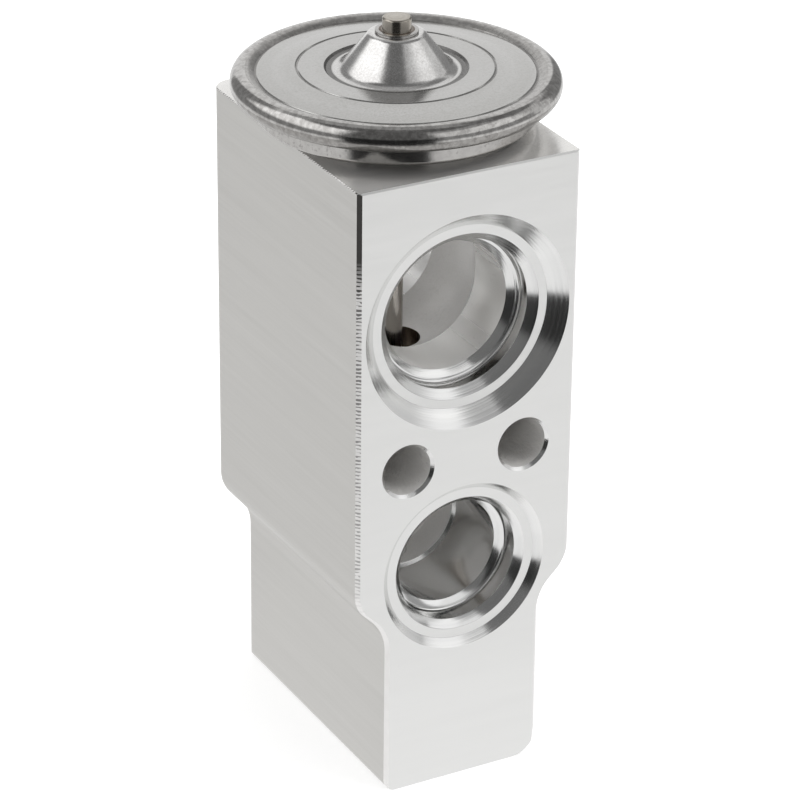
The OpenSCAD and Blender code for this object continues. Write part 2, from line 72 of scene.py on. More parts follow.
class Slot(Enum):
    """Material slots of the record, named for the pieces of the scene."""

    BLOCK = "block_aluminium"
    CASE = "case_steel"
    PLUG = "plug_steel"
    SPRING = "spring_steel"


class Axis(Enum):
    """Row axes that a turned surface may have, with the mask that leaves its radius."""

    ALONG_Y = (1.0, 0.0, 1.0)
    ALONG_Z = (1.0, 1.0, 0.0)


class Face(IntEnum):
    """Surfaces of the block, numbered as its finishes are."""

    FLANK = 0
    SUCTION = 1
    DRILLED = 2
    CAVITY = 3
    FRONT = 4
    TOP = 5
    OUTLET = 6
    INLET = 7
    BROKEN = 8
    PASSAGE = 9
    POCKET = 10


class Skin(IntEnum):
    """Surfaces of the upper case, numbered as its finishes are; the moat, groove and underside entries
    carry painted shade.
    """

    DISC = 0
    RIM = 1
    BAND = 2
    DOME = 3
    MOAT_SHADE = 4
    GROOVE_SHADE = 5
    UNDERSIDE_SHADE = 6


# ---------------------------------------------------------------- node trees


class Net:
    """Places nodes in a tree and joins them."""

    def __init__(self, tree: bpy.types.NodeTree) -> None:
        """Take the tree that the nodes go into."""
        self.tree = tree

    def add(self, kind: str, **settings: object) -> Node:
        """Add one node.

        Args:
            kind: The node's type name.
            settings: Properties to set on it.

        Returns:
            The new node.
        """
        node = self.tree.nodes.new(kind)
        for name, value in settings.items():
            setattr(node, name, value)
        return node

    def feed(self, socket: Socket, value: object) -> None:
        """Join a socket to another, or set it to a plain value.

        Args:
            socket: The input to feed.
            value: An output socket, or a number, colour or vector.
        """
        if isinstance(value, Socket):
            self.tree.links.new(value, socket)
        else:
            socket.default_value = value

    def put(self, kind: str, inputs: dict[str | int, object], **settings: object) -> Node:
        """Add one node and feed its inputs.

        Args:
            kind: The node's type name.
            inputs: What each input gets, by its name or number.
            settings: Properties to set on it.

        Returns:
            The new node.
        """
        node = self.add(kind, **settings)
        for name, value in inputs.items():
            self.feed(node.inputs[name], value)
        return node

    def math(self, operation: str, *values: object, clamp: bool = False) -> Socket:
        """Work out one number from others, kept between 0 and 1 where clamp says so."""
        inputs = dict(enumerate(values))
        return self.put("ShaderNodeMath", inputs, operation=operation, use_clamp=clamp).outputs[0]

    def vector(self, operation: str, *values: object) -> Node:
        """Add a vector math node, whose outputs are a vector and a value."""
        return self.put("ShaderNodeVectorMath", dict(enumerate(values)), operation=operation)

    def noise(self, vector: object, scale: object, detail: float = 2.0, rough: float = 0.5) -> Socket:
        """Add a noise texture, with its scale per metre, and give its value."""
        inputs = {"Vector": vector, "Scale": scale, "Detail": detail, "Roughness": rough}
        return self.put("ShaderNodeTexNoise", inputs).outputs["Fac"]

    def span(self, value: object, low: float, high: float, to_low: object, to_high: object) -> Socket:
        """Map one range onto another, with its ends held.

        Args:
            value: The number to map.
            low: Start of the range read.
            high: End of the range read.
            to_low: Start of the range given.
            to_high: End of the range given.

        Returns:
            The mapped number's socket.
        """
        names = ("Value", "From Min", "From Max", "To Min", "To Max")
        inputs = dict(zip(names, (value, low, high, to_low, to_high), strict=True))
        return self.put("ShaderNodeMapRange", inputs, clamp=True).outputs["Result"]

    def mix(self, factor: object, first: Sequence[float], second: Sequence[float]) -> Socket:
        """Mix two colours, by the share of the second."""
        return self.put("ShaderNodeMix", {0: factor, 6: first, 7: second}, data_type="RGBA").outputs[2]


class SharedGroup:
    """A shader node group that several finishes use, built once.

    Its inputs are numbers with their defaults, or vectors where the default is None. Its outputs
    are numbers.
    """

    name = ""
    inputs: ClassVar[Inputs] = {}
    outputs: tuple[str, ...] = ()

    def tree(self) -> bpy.types.NodeTree:
        """Give the group's tree, made on the first call."""
        found = bpy.data.node_groups.get(self.name)
        if found:
            return found
        made = bpy.data.node_groups.new(self.name, "ShaderNodeTree")
        for name, value in self.inputs.items():
            kind = "NodeSocketVector" if value is None else "NodeSocketFloat"
            socket = made.interface.new_socket(name, in_out="INPUT", socket_type=kind)
            if value is not None:
                socket.default_value = value
        for name in self.outputs:
            made.interface.new_socket(name, in_out="OUTPUT", socket_type="NodeSocketFloat")
        net = Net(made)
        self.fill(net, net.add("NodeGroupInput").outputs, net.add("NodeGroupOutput").inputs)
        return made

    def fill(self, net: Net, given: bpy.types.NodeOutputs, out: bpy.types.NodeInputs) -> None:
        """Build the inside of the group.

        Args:
            net: The group's tree.
            given: The group's inputs.
            out: The group's outputs.
        """
        raise NotImplementedError

    def place(self, net: Net, **values: object) -> Node:
        """Place the group in a material.

        Args:
            net: The material's tree.
            values: Input values, with spaces in their names written as underscores.

        Returns:
            The group's node.
        """
        node = net.add("ShaderNodeGroup", node_tree=self.tree())
        for name, value in values.items():
            net.feed(node.inputs[name.replace("_", " ")], value)
        return node


class TurningMarks(SharedGroup):
    """Fine rings that a lathe or a port cutter leaves round an axis."""

    name = "turning_marks"
    inputs: ClassVar[Inputs] = {"Vector": None, "Centre": None, "Radius Mask": None, "Pitch": 0.0002}
    outputs = ("Marks", "Bands")

    def fill(self, net: Net, given: bpy.types.NodeOutputs, out: bpy.types.NodeInputs) -> None:
        """Build rings whose strength wanders slowly round the axis."""
        arm = net.vector("SUBTRACT", given["Vector"], given["Centre"]).outputs[0]
        flat = net.vector("MULTIPLY", arm, given["Radius Mask"]).outputs[0]
        radius = net.vector("LENGTH", flat).outputs["Value"]
        step = net.math("DIVIDE", radius, given["Pitch"])
        along = net.put("ShaderNodeCombineXYZ", {0: step})
        drift = net.vector("SCALE", net.vector("NORMALIZE", flat).outputs[0])
        net.feed(drift.inputs["Scale"], 0.6)
        place = net.vector("ADD", along.outputs[0], drift.outputs[0]).outputs[0]
        net.feed(out["Marks"], net.noise(place, 1.0, 3.0, 0.7))
        net.feed(out["Bands"], net.noise(place, 0.12, 2.0, 0.6))


class DrawnLines(SharedGroup):
    """Long faint lines, as drawing, milling or brushing leaves them along one direction."""

    name = "drawn_lines"
    inputs: ClassVar[Inputs] = {"Vector": None, "Stretch": None, "Fineness": 4000.0}
    outputs = ("Lines", "Bands")

    def fill(self, net: Net, given: bpy.types.NodeOutputs, out: bpy.types.NodeInputs) -> None:
        """Build noise that is stretched along the chosen direction."""
        drawn = net.vector("MULTIPLY", given["Vector"], given["Stretch"]).outputs[0]
        net.feed(out["Lines"], net.noise(drawn, given["Fineness"], 4.0, 0.65))
        net.feed(out["Bands"], net.noise(drawn, 420.0, 2.0, 0.5))


class Pitting(SharedGroup):
    """Small dark specks and soft stains, as pressed steel and handled metal show."""

    name = "pitting"
    inputs: ClassVar[Inputs] = {"Vector": None, "Speck Scale": 1500.0, "Share": 0.35}
    outputs = ("Specks", "Stain")

    def fill(self, net: Net, given: bpy.types.NodeOutputs, out: bpy.types.NodeInputs) -> None:
        """Build specks from a fine noise, thinned by a coarse one."""
        fine = net.noise(given["Vector"], given["Speck Scale"], 3.0)
        coarse = net.noise(given["Vector"], 160.0, 3.0, 0.6)
        level = net.math("SUBTRACT", 0.86, net.math("MULTIPLY", given["Share"], coarse))
        over = net.math("SUBTRACT", fine, level)
        net.feed(out["Specks"], net.math("MULTIPLY", over, 14.0, clamp=True))
        net.feed(out["Stain"], coarse)


class Relief(SharedGroup):
    """Small dents and grain, as blasting, rolling or casting leaves them."""

    name = "relief"
    inputs: ClassVar[Inputs] = {"Vector": None, "Scale": 1500.0, "Depth": 0.00001}
    outputs = ("Height", "Dents")

    def fill(self, net: Net, given: bpy.types.NodeOutputs, out: bpy.types.NodeInputs) -> None:
        """Build dents of one size with finer grain in them, as a height in metres."""
        dents = net.noise(given["Vector"], given["Scale"], 3.0, 0.55)
        net.feed(out["Height"], net.math("MULTIPLY", dents, given["Depth"]))
        net.feed(out["Dents"], dents)


TURNING = TurningMarks()
DRAWN = DrawnLines()
PITTED = Pitting()
RELIEF = Relief()


# ---------------------------------------------------------------- finishes


def painted(name: str, **inputs: object) -> tuple[bpy.types.Material, Net, Node]:
    """Make a material with a Principled shader.

    Args:
        name: The material's name.
        inputs: Input values, with spaces in their names written as underscores.

    Returns:
        The material, its tree and its shader.
    """
    made = bpy.data.materials.new(name)
    made.use_nodes = True
    shader = made.node_tree.nodes["Principled BSDF"]
    for key, value in inputs.items():
        shader.inputs[key.replace("_", " ")].default_value = value
    return made, Net(made.node_tree), shader


@dataclass(frozen=True)
class Finish:
    """A procedural surface, read on object coordinates."""

    name: str
    color: Triple = (0.8, 0.8, 0.8)
    shade: Triple = (0.7, 0.7, 0.7)
    roughness: Point2 = (0.3, 0.4)
    metallic: float = 1.0

    def build(self) -> bpy.types.Material:
        """Give the finish's material, made on the first call."""
        found = bpy.data.materials.get(self.name)
        if found:
            return found
        made, net, shader = painted(self.name, Metallic=self.metallic)
        self.wire(net, shader, net.add("ShaderNodeTexCoord").outputs["Object"])
        return made

    def wire(self, net: Net, shader: Node, here: Socket) -> None:
        """Join the pattern to the shader.

        Args:
            net: The material's tree.
            shader: The Principled shader.
            here: Object coordinates.
        """
        raise NotImplementedError

    def tones(self, net: Net, shader: Node, tone: object, rough: object) -> None:
        """Feed colour and roughness from the masks of the darker tone and of the rougher surface."""
        net.feed(shader.inputs["Base Color"], net.mix(tone, (*self.color, 1.0), (*self.shade, 1.0)))
        net.feed(shader.inputs["Roughness"], net.span(rough, 0.3, 0.7, *self.roughness))

    def bump(self, net: Net, shader: Node, height: object, depth: float, strength: float = 1.0) -> None:
        """Feed the normal from a height, with the depth of the relief in metres."""
        inputs = {"Strength": strength, "Distance": depth, "Height": height}
        net.feed(shader.inputs["Normal"], net.put("ShaderNodeBump", inputs).outputs["Normal"])


@dataclass(frozen=True)
class LinedFinish(Finish):
    """Metal with long lines in one direction: extruded flanks, milled faces, drawn wire."""

    stretch: Triple = (1.0, 0.02, 1.0)
    fineness: float = 5000.0
    depth: float = 0.00001

    def wire(self, net: Net, shader: Node, here: Socket) -> None:
        """Join the lines to the shader."""
        lines = DRAWN.place(net, Vector=here, Stretch=self.stretch, Fineness=self.fineness)
        specks = PITTED.place(net, Vector=here, Speck_Scale=2600.0, Share=0.25)
        bands = net.math("MULTIPLY", lines.outputs["Bands"], 0.8)
        tone = net.math("ADD", bands, specks.outputs["Specks"], clamp=True)
        self.tones(net, shader, tone, lines.outputs["Lines"])
        self.bump(net, shader, lines.outputs["Lines"], self.depth)


@dataclass(frozen=True)
class TurnedFinish(Finish):
    """Metal turned round an axis, with fine rings."""

    centre: Triple = AXIS_CENTRE
    axis: Axis = Axis.ALONG_Z
    pitch: float = 0.00012
    depth: float = 0.000006
    share: float = 0.2
    speck_scale: float = 2200.0
    dent_scale: float = 3000.0
    dent_depth: float = 0.0000004
    dent_tone: float = 0.0

    def wire(self, net: Net, shader: Node, here: Socket) -> None:
        """Join the rings, specks and dents to the shader."""
        mask = self.axis.value
        rings = TURNING.place(net, Vector=here, Centre=self.centre, Radius_Mask=mask, Pitch=self.pitch)
        specks = PITTED.place(net, Vector=here, Speck_Scale=self.speck_scale, Share=self.share)
        dents = RELIEF.place(net, Vector=here, Scale=self.dent_scale, Depth=self.dent_depth)
        bands = net.span(rings.outputs["Bands"], 0.35, 0.65, 0.0, 0.8)
        tone = net.math("ADD", bands, specks.outputs["Specks"], clamp=True)
        if self.dent_tone:
            spread = net.span(dents.outputs["Dents"], 0.38, 0.62, -self.dent_tone, self.dent_tone)
            tone = net.math("ADD", tone, spread, clamp=True)
        self.tones(net, shader, tone, rings.outputs["Marks"])
        marks = net.math("MULTIPLY", rings.outputs["Marks"], self.depth)
        self.bump(net, shader, net.math("ADD", marks, dents.outputs["Height"]), 1.0)


@dataclass(frozen=True)
class DarkReflectionEdge(Finish):
    """Broken edge of the block, painted with a dark reflection: solid dark near the top, notched further
    down, bare on the foot.
    """

    solid: Point2 = (0.0655, 0.0695)
    bare: Point2 = (0.024, 0.031)
    front: Point2 = (-0.0172, -0.017)
    notch: float = 0.00048

    def wire(self, net: Net, shader: Node, here: Socket) -> None:
        """Join the painted dark reflection, its notches and its solid part, to the shader."""
        wander = net.noise(here, 900.0, 2.0, 0.6)
        x, y, z = net.put("ShaderNodeSeparateXYZ", {0: here}).outputs
        along = net.math("ADD", z, net.math("ADD", x, y))
        phase = net.math("MULTIPLY", along, 2 * math.pi / self.notch)
        wave = net.math("SINE", net.math("ADD", phase, net.math("MULTIPLY", wander, 7.0)))
        thinned = net.math("ADD", wave, net.span(wander, 0.35, 0.65, -0.7, 0.7))
        notches = net.span(thinned, 0.1, 0.6, 0.0, 0.85)
        front = net.span(y, *self.front, 1.0, 0.0)
        solid = net.math("MULTIPLY", net.span(z, *self.solid, 0.0, 1.0), front)
        fade = net.span(z, self.bare[1], self.solid[0], 0.6, 1.0)
        low = net.math("MULTIPLY", fade, net.span(z, *self.bare, 0.0, 1.0))
        kept = net.math("MULTIPLY", notches, low)
        self.tones(net, shader, net.math("ADD", kept, solid, clamp=True), wander)
        self.bump(net, shader, wander, 0.00004)


@dataclass(frozen=True)
class RubberFinish(Finish):
    """Moulded rubber, matte with a faint bloom."""

    color: Triple = (0.03, 0.03, 0.033)
    shade: Triple = (0.05, 0.05, 0.052)
    roughness: Point2 = (0.45, 0.6)
    metallic: float = 0.0

    def wire(self, net: Net, shader: Node, here: Socket) -> None:
        """Join a fine grain and bloom to the shader."""
        grain = PITTED.place(net, Vector=here, Speck_Scale=4200.0, Share=0.5)
        self.tones(net, shader, grain.outputs["Stain"], grain.outputs["Stain"])
        self.bump(net, shader, grain.outputs["Stain"], 0.00002, 0.5)


# ---------------------------------------------------------------- meshes


def arc(mid: Point2, r: float, start: float, end: float, steps: int) -> list[Point2]:
    """Points on an arc.

    Args:
        mid: Centre of the arc.
        r: Its radius.
        start: First angle, in degrees.
        end: Last angle, in degrees.
        steps: Number of steps.

    Returns:
        The points, both ends included.
    """
    out = []
    for i in range(steps + 1):
        a = math.radians(start + (end - start) * i / steps)
        out.append((mid[0] + r * math.cos(a), mid[1] + r * math.sin(a)))
    return out


def softened(points: Sequence[Point2], radius: float, steps: int = 2, keep: float = 12.0) -> list[Point2]:
    """Round the corners of a profile a little, so that its edges catch the light.

    Args:
        points: The profile, open at both ends.
        radius: Rounding, cut short where the sides are short.
        steps: Steps in each rounding.
        keep: Corners flatter than this angle, in degrees, are left.

    Returns:
        The rounded profile.
    """
    out = [points[0]]
    for before, here, after in zip(points, points[1:], points[2:], strict=False):
        a, b = Vector(before) - Vector(here), Vector(after) - Vector(here)
        if min(a.length, b.length) < 1e-6:
            continue
        turn = math.degrees(a.angle(-b))
        if turn < keep:
            out.append(here)
            continue
        reach = min(radius * math.tan(math.radians(turn) / 2), 0.4 * a.length, 0.4 * b.length)
        start, end = Vector(here) + a.normalized() * reach, Vector(here) + b.normalized() * reach
        for i in range(steps + 1):
            t = i / steps
            spot = start * (1 - t) ** 2 + Vector(here) * 2 * t * (1 - t) + end * t**2
            out.append((spot.x, spot.y))
    out.append(points[-1])
    return out


@dataclass
class Shape:
    """A mesh under construction, in millimetres."""

    verts: list[Vector] = field(default_factory=list)
    faces: list[tuple[int, ...]] = field(default_factory=list)
    marks: list[int] = field(default_factory=list)

    def ring_wall(self, low: Sequence[int], high: Sequence[int], mark: int = 0) -> None:
        """Join two closed rings of points with quads.

        Args:
            low: Indices of the first ring.
            high: Indices of the second ring.
            mark: Material index of the wall.
        """
        count = len(low)
        for i in range(count):
            j = (i + 1) % count
            self.faces.append((low[i], low[j], high[j], high[i]))
            self.marks.append(mark)

    def lathe(self, profile: Sequence[Point2], steps: int, place: Matrix, mark: int = 0) -> None:
        """Turn a profile of (radius, height) points round the place's Z axis.

        Args:
            profile: Points from one end to the other; a radius of zero makes a pole.
            steps: Number of steps round.
            place: Where the turned shape goes.
            mark: Material index of the surface.
        """
        rows: list[list[int]] = []
        for r, z in profile:
            start = len(self.verts)
            if r < 1e-7:
                self.verts.append(place @ Vector((0, 0, z)))
                rows.append([start])
                continue
            for i in range(steps):
                a = 2 * math.pi * i / steps
                self.verts.append(place @ Vector((r * math.cos(a), r * math.sin(a), z)))
            rows.append(list(range(start, start + steps)))
        for low, high in zip(rows, rows[1:], strict=False):
            if len(low) == 1 and len(high) == 1:
                continue
            if len(low) == 1 or len(high) == 1:
                pole, rim = (low[0], high) if len(low) == 1 else (high[0], low)
                for i in range(len(rim)):
                    self.faces.append((pole, rim[i], rim[(i + 1) % len(rim)]))
                    self.marks.append(mark)
            else:
                self.ring_wall(low, high, mark)

    def mesh(self, name: str) -> bpy.types.Mesh:
        """Make the Blender mesh, in metres, with its faces pointing outwards.

        Args:
            name: The mesh's name.

        Returns:
            The mesh.
        """
        made = bpy.data.meshes.new(name)
        made.from_pydata([v * MM for v in self.verts], [], self.faces)
        for poly, mark in zip(made.polygons, self.marks, strict=True):
            poly.material_index = mark
        work = bmesh.new()
        work.from_mesh(made)
        bmesh.ops.remove_doubles(work, verts=work.verts, dist=1e-8)
        bmesh.ops.recalc_face_normals(work, faces=work.faces)
        work.to_mesh(made)
        work.free()
        return made


def link(mesh: bpy.types.Mesh) -> Piece:
    """Put a mesh into the scene as an object of its name at the origin."""
    made = bpy.data.objects.new(mesh.name, mesh)
    bpy.context.scene.collection.objects.link(made)
    return made


def turned(name: str, profile: Sequence[Point2], steps: int, place: Matrix, mark: int = 0) -> Piece:
    """Turn a profile into an object.

    Args:
        name: The object's name.
        profile: Points of (radius, height) from one end to the other.
        steps: Number of steps round.
        place: Where the turned shape goes.
        mark: Material index of the surface.

    Returns:
        The object.
    """
    shape = Shape()
    shape.lathe(profile, steps, place, mark)
    return link(shape.mesh(name))


def baked(obj: Piece) -> Piece:
    """Replace an object's mesh by its evaluated one and remove its modifiers.

    Args:
        obj: The object.

    Returns:
        The same object.
    """
    bpy.context.view_layer.update()
    seen = obj.evaluated_get(bpy.context.evaluated_depsgraph_get())
    mesh = bpy.data.meshes.new_from_object(seen)
    obj.modifiers.clear()
    obj.data = mesh
    mesh.name = obj.name
    return obj


def closed(line: Sequence[Point2]) -> list[Point2]:
    """Lead both ends of a profile to the axis it is turned round."""
    return [(0.0, line[0][1]), *line, (0.0, line[-1][1])]


def bore(r: float, low: float, high: float) -> list[Point2]:
    """Profile of a plain round hole."""
    return closed([(r, low), (r, high)])


def smoothed(obj: Piece, angle: float = 28.0) -> Piece:
    """Shade an object smooth, with creases over an angle and flat faces kept flat.

    Args:
        obj: The object.
        angle: Crease angle in degrees.

    Returns:
        The same object.
    """
    for poly in obj.data.polygons:
        poly.use_smooth = True
    obj.data.set_sharp_from_angle(angle=math.radians(angle))
    weighted = obj.modifiers.new("weighted", "WEIGHTED_NORMAL")
    weighted.keep_sharp = True
    return baked(obj)


def on_axis() -> Matrix:
    """Place of a shape turned round the stroke axis."""
    return Matrix.Translation((0, AXIS_Y, 0))


def facing(x: float, y: float, z: float, inward: int) -> Matrix:
    """Place of a shape turned round an axis along Y, its depth along +Y where inward is 1."""
    return Matrix.Translation((x, y, z)) @ Matrix.Rotation(-inward * math.pi / 2, 4, "X")


class Part:
    """Base of the sub-assemblies: dresses pieces and attaches them to their body."""

    body = "block"

    def settle(
        self,
        obj: Piece,
        finishes: Iterable[Finish],
        slot: Slot,
        node: str,
        rides: bool = True,
    ) -> Piece:
        """Give a piece its finishes and let it stand for a node.

        Args:
            obj: The piece.
            finishes: One finish for each material index.
            slot: The record's slot; not used.
            node: The node that it stands for.
            rides: Whether it rides on the sub-assembly's body; if not, it is left unattached.

        Returns:
            The piece.
        """
        marks = [poly.material_index for poly in obj.data.polygons]
        obj.data.materials.clear()
        for finish in finishes:
            obj.data.materials.append(finish.build())
        obj.data.polygons.foreach_set("material_index", marks)
        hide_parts(node)
        if rides:
            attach(obj, self.body)
        LOG.info("%s stands for %s, %d faces", obj.name, node, len(obj.data.polygons))
        return obj

    def dress(self, finishes: dict[str, Finish]) -> None:
        """Give imported nodes their finishes.

        Args:
            finishes: The finish of each node.
        """
        for node, finish in finishes.items():
            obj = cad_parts[node]
            made = finish.build()
            if not obj.material_slots:
                obj.data.materials.append(made)
            for place in obj.material_slots:
                place.material = made
            LOG.info("%s dressed in %s", node, finish.name)


# ---------------------------------------------------------------- block


@dataclass(frozen=True)
class Port:
    """One turned port: mouth cone, shelf, lead-in, seal wall, floor, throat and passage."""

    name: str
    z: float
    mouth_r: float
    mouth_c: float
    shelf_r: float
    lead: float
    floor: float
    throat: float
    bore_r: float
    reach: float
    corner: float = 0.5

    def profile(self) -> list[Point2]:
        """Give the waste's profile from the mouth inwards."""
        wall = self.shelf_r - self.lead
        corner = min(self.corner, wall - self.bore_r - self.throat)
        line = [
            (0.0, -1.0),
            (self.mouth_r + 0.04, -1.0),
            (self.mouth_r + 0.04, -0.04),
            (self.mouth_r - self.mouth_c, self.mouth_c),
            (self.shelf_r, self.mouth_c),
            (wall, self.mouth_c + self.lead),
            *arc((wall - corner, self.floor - corner), corner, 0, 90, 5),
            (self.bore_r + self.throat, self.floor),
            (self.bore_r, self.floor + self.throat),
            (self.bore_r, self.reach),
            (0.0, self.reach),
        ]
        return line[:2] + softened(line[2:-2], 0.09) + line[-2:]


@dataclass
class ValveBlock(Part):
    """The extruded and machined block with its ports, holes and bores."""

    width: float = 28.3
    depth: float = 37.15
    height: float = BLOCK_H
    foot_w: float = 20.4
    shoulder_z: float = 27.2
    shoulder_r: float = 4.0
    shoulder_fillet: float = 6.0
    shoulder_angle: float = 45.0
    foot_r: float = 3.2
    foot_left_r: float = 1.4
    rear_r: float = 2.3
    front_c: float = 0.45
    top_c: float = 0.2
    burr: float = 0.1
    mid_y: float = 0.6675
    steps: int = 160
    bend_steps: int = 12
    corner_steps: int = 14
    cavity_r: float = 9.38
    pocket_r: float = 3.1
    guide_r: float = 1.05
    nozzle_r: float = 6.35
    shelf_depth: float = 2.5
    wall_depth: float = 5.6
    bolt_x: float = 7.55
    bolt_z: float = 42.05
    bolt_r: float = 3.05
    bolt_c: float = 0.35
    ports: tuple[Port, ...] = (
        Port("suction_front", 59.1, 13.15, 1.86, 10.2, 1.0, 4.7, 0.75, 7.93, 20.0),
        Port("outlet", 27.9, 10.6, 0.89, 8.56, 0.9, 4.1, 0.6, 6.65, 14.25),
    )
    rear_ports: tuple[Port, ...] = (
        Port("suction_rear", 59.1, 13.15, 1.86, 10.2, 1.0, 4.7, 0.75, 7.93, 20.0),
        Port("inlet", 12.5, 7.4, 0.7, 6.3, 0.7, 4.1, 0.5, 3.9, 16.4),
    )

    @property
    def front_y(self) -> float:
        """Place of the front face."""
        return self.mid_y - self.depth / 2

    @property
    def rear_y(self) -> float:
        """Place of the rear face."""
        return self.mid_y + self.depth / 2

    @property
    def foot_top(self) -> float:
        """Height at which the foot's walls turn into the shoulders."""
        return self.half_outline(self.foot_r)[2 * (self.bend_steps + 1) + 1][0].y

    def half_outline(self, corner_r: float) -> list[tuple[Vector, Vector]]:
        """Give one half of the outline.

        Args:
            corner_r: Rounding of the foot's lower corner.

        Returns:
            Pairs of a point and its outward normal, with the half on the right.
        """
        half, foot, angle = self.width / 2, self.foot_w / 2, math.radians(self.shoulder_angle)
        turn = 1 - math.cos(angle)
        drop = (half - foot) - (self.shoulder_r + self.shoulder_fillet) * turn
        run = drop / math.sin(angle)
        shoulder = self.shoulder_z - self.shoulder_r * math.sin(angle)
        top = Vector((half - self.shoulder_r * turn, shoulder))
        end = top - run * Vector((math.sin(angle), math.cos(angle)))
        mid = end + self.shoulder_fillet * Vector((math.cos(angle), -math.sin(angle)))
        edge = ((half - self.burr, self.height), (half, self.height - self.burr))
        out = [(Vector(p), Vector((1, 0))) for p in edge]

        def bend(at: Vector, r: float, start: float, stop: float, side: int, steps: int) -> None:
            """Add the points of one bend."""
            for i in range(steps + 1):
                a = math.radians(start + (stop - start) * i / steps)
                n = Vector((math.cos(a), math.sin(a)))
                out.append((at + r * n, side * n))

        tilt, steps = self.shoulder_angle, self.bend_steps
        bend(Vector((half - self.shoulder_r, self.shoulder_z)), self.shoulder_r, 0, -tilt, 1, steps)
        bend(mid, self.shoulder_fillet, 180 - tilt, 180, -1, steps)
        bend(Vector((foot - corner_r, corner_r)), corner_r, 0, -90, 1, self.corner_steps)
        return out

    def bar(self) -> Piece:
        """Build the bar with rounded rear edges and chamfered front edges."""
        left = self.half_outline(self.foot_left_r)
        whole = self.half_outline(self.foot_r)
        whole += [(Vector((-p.x, p.y)), Vector((-n.x, n.y))) for p, n in reversed(left)]
        shape = Shape()
        rear = arc((self.rear_r, self.rear_r), self.rear_r, 270, 180, 10)
        rows = [(self.rear_y - d, inset, 0.0) for inset, d in rear]
        rows += [
            (self.front_y + self.front_c, 0.0, 0.0),
            (self.front_y + self.top_c, self.front_c - self.top_c, 0.0),
            (self.front_y, self.front_c, self.top_c),
        ]
        rings = []
        for y, inset, drop in rows:
            start = len(shape.verts)
            for p, n in whole:
                q = p - inset * abs(n.x) * n
                if p.y < self.foot_top:
                    wall = self.foot_w / 2 - inset
                    q = Vector((max(-wall, min(wall, p.x)), p.y))
                z = min(q.y, self.height - drop) if q.y > self.height - 1 else q.y
                shape.verts.append(Vector((q.x, y, z)))
            rings.append(list(range(start, start + len(whole))))
        for low, high in zip(rings, rings[1:], strict=False):
            shape.ring_wall(low, high)
        shape.faces += [tuple(rings[0]), tuple(reversed(rings[-1]))]
        shape.marks += [0, 0]
        return link(shape.mesh("bar"))

    def tools(self) -> list[Piece]:
        """Build one cutting tool for each port, hole and bore."""
        made = [
            turned(port.name, port.profile(), self.steps, facing(0, y, port.z, inward), Face.SUCTION)
            for ports, y, inward in ((self.ports, self.front_y, 1), (self.rear_ports, self.rear_y, -1))
            for port in ports
        ]
        wide = self.bolt_r + self.bolt_c
        bolt = [
            (0.0, -1.0), (wide, -1.0), (wide, 0.0), (self.bolt_r, self.bolt_c),
            (self.bolt_r, self.depth - self.bolt_c), (wide, self.depth), (wide, self.depth + 1),
            (0.0, self.depth + 1),
        ]
        for side in (-1, 1):
            place = facing(side * self.bolt_x, self.front_y, self.bolt_z, 1)
            made.append(turned(f"bolt{side}", bolt, 64, place, Face.DRILLED))
        nose = arc((0, 58.85), self.cavity_r, -90, 0, 24)
        nose[0] = (0.0, nose[0][1])
        above = self.height + 1
        neck = [(10.0, 69.0), (10.0, 75.4), (12.2, self.height), (12.2, above)]
        chamber = [
            (7.0, -1.0), (7.0, 0.0), (6.7, 0.3), (6.7, 4.1), (6.2, 4.1), (6.2, 18.6),
            (3.2, 18.6), (3.2, 20.3), (1.8, 20.3), (1.8, 27.0),
        ]
        depth = AXIS_Y - self.front_y + 0.6
        drill = [(0.0, 1.0), (self.nozzle_r, 1.0), (self.nozzle_r, depth), (0.0, depth + 3.815)]
        outlet = facing(0, self.front_y, self.ports[1].z, 1)
        for name, line, place, mark, steps in (
            ("cavity", [*nose, (self.cavity_r, above), (0.0, above)], on_axis(), Face.CAVITY, self.steps),
            ("neck_hole", closed(neck), on_axis(), Face.CAVITY, self.steps),
            ("seal_pocket", bore(self.pocket_r, 45.0, 58.0), on_axis(), Face.POCKET, 96),
            ("rod_guide", bore(self.guide_r, 27.0, 45.5), on_axis(), Face.DRILLED, 48),
            ("outlet_end", drill, outlet, Face.CAVITY, self.steps),
            ("chamber", closed(chamber), on_axis(), Face.DRILLED, 96),
        ):
            made.append(turned(name, line, steps, place, mark))
        return made

    def build(self) -> None:
        """Cut the bar, finish its faces and let it stand for the body."""
        bar = self.bar()
        for _ in self.finishes():
            bar.data.materials.append(None)
        for tool in self.tools():
            cut = bar.modifiers.new(tool.name, "BOOLEAN")
            cut.object = tool
            cut.operation = "DIFFERENCE"
            cut.solver = "EXACT"
            baked(bar)
            bpy.data.objects.remove(tool)
        self.sort_faces(bar)
        smoothed(bar)
        bar.name = "block_machined"
        self.settle(bar, self.finishes(), Slot.BLOCK, "valve_body")

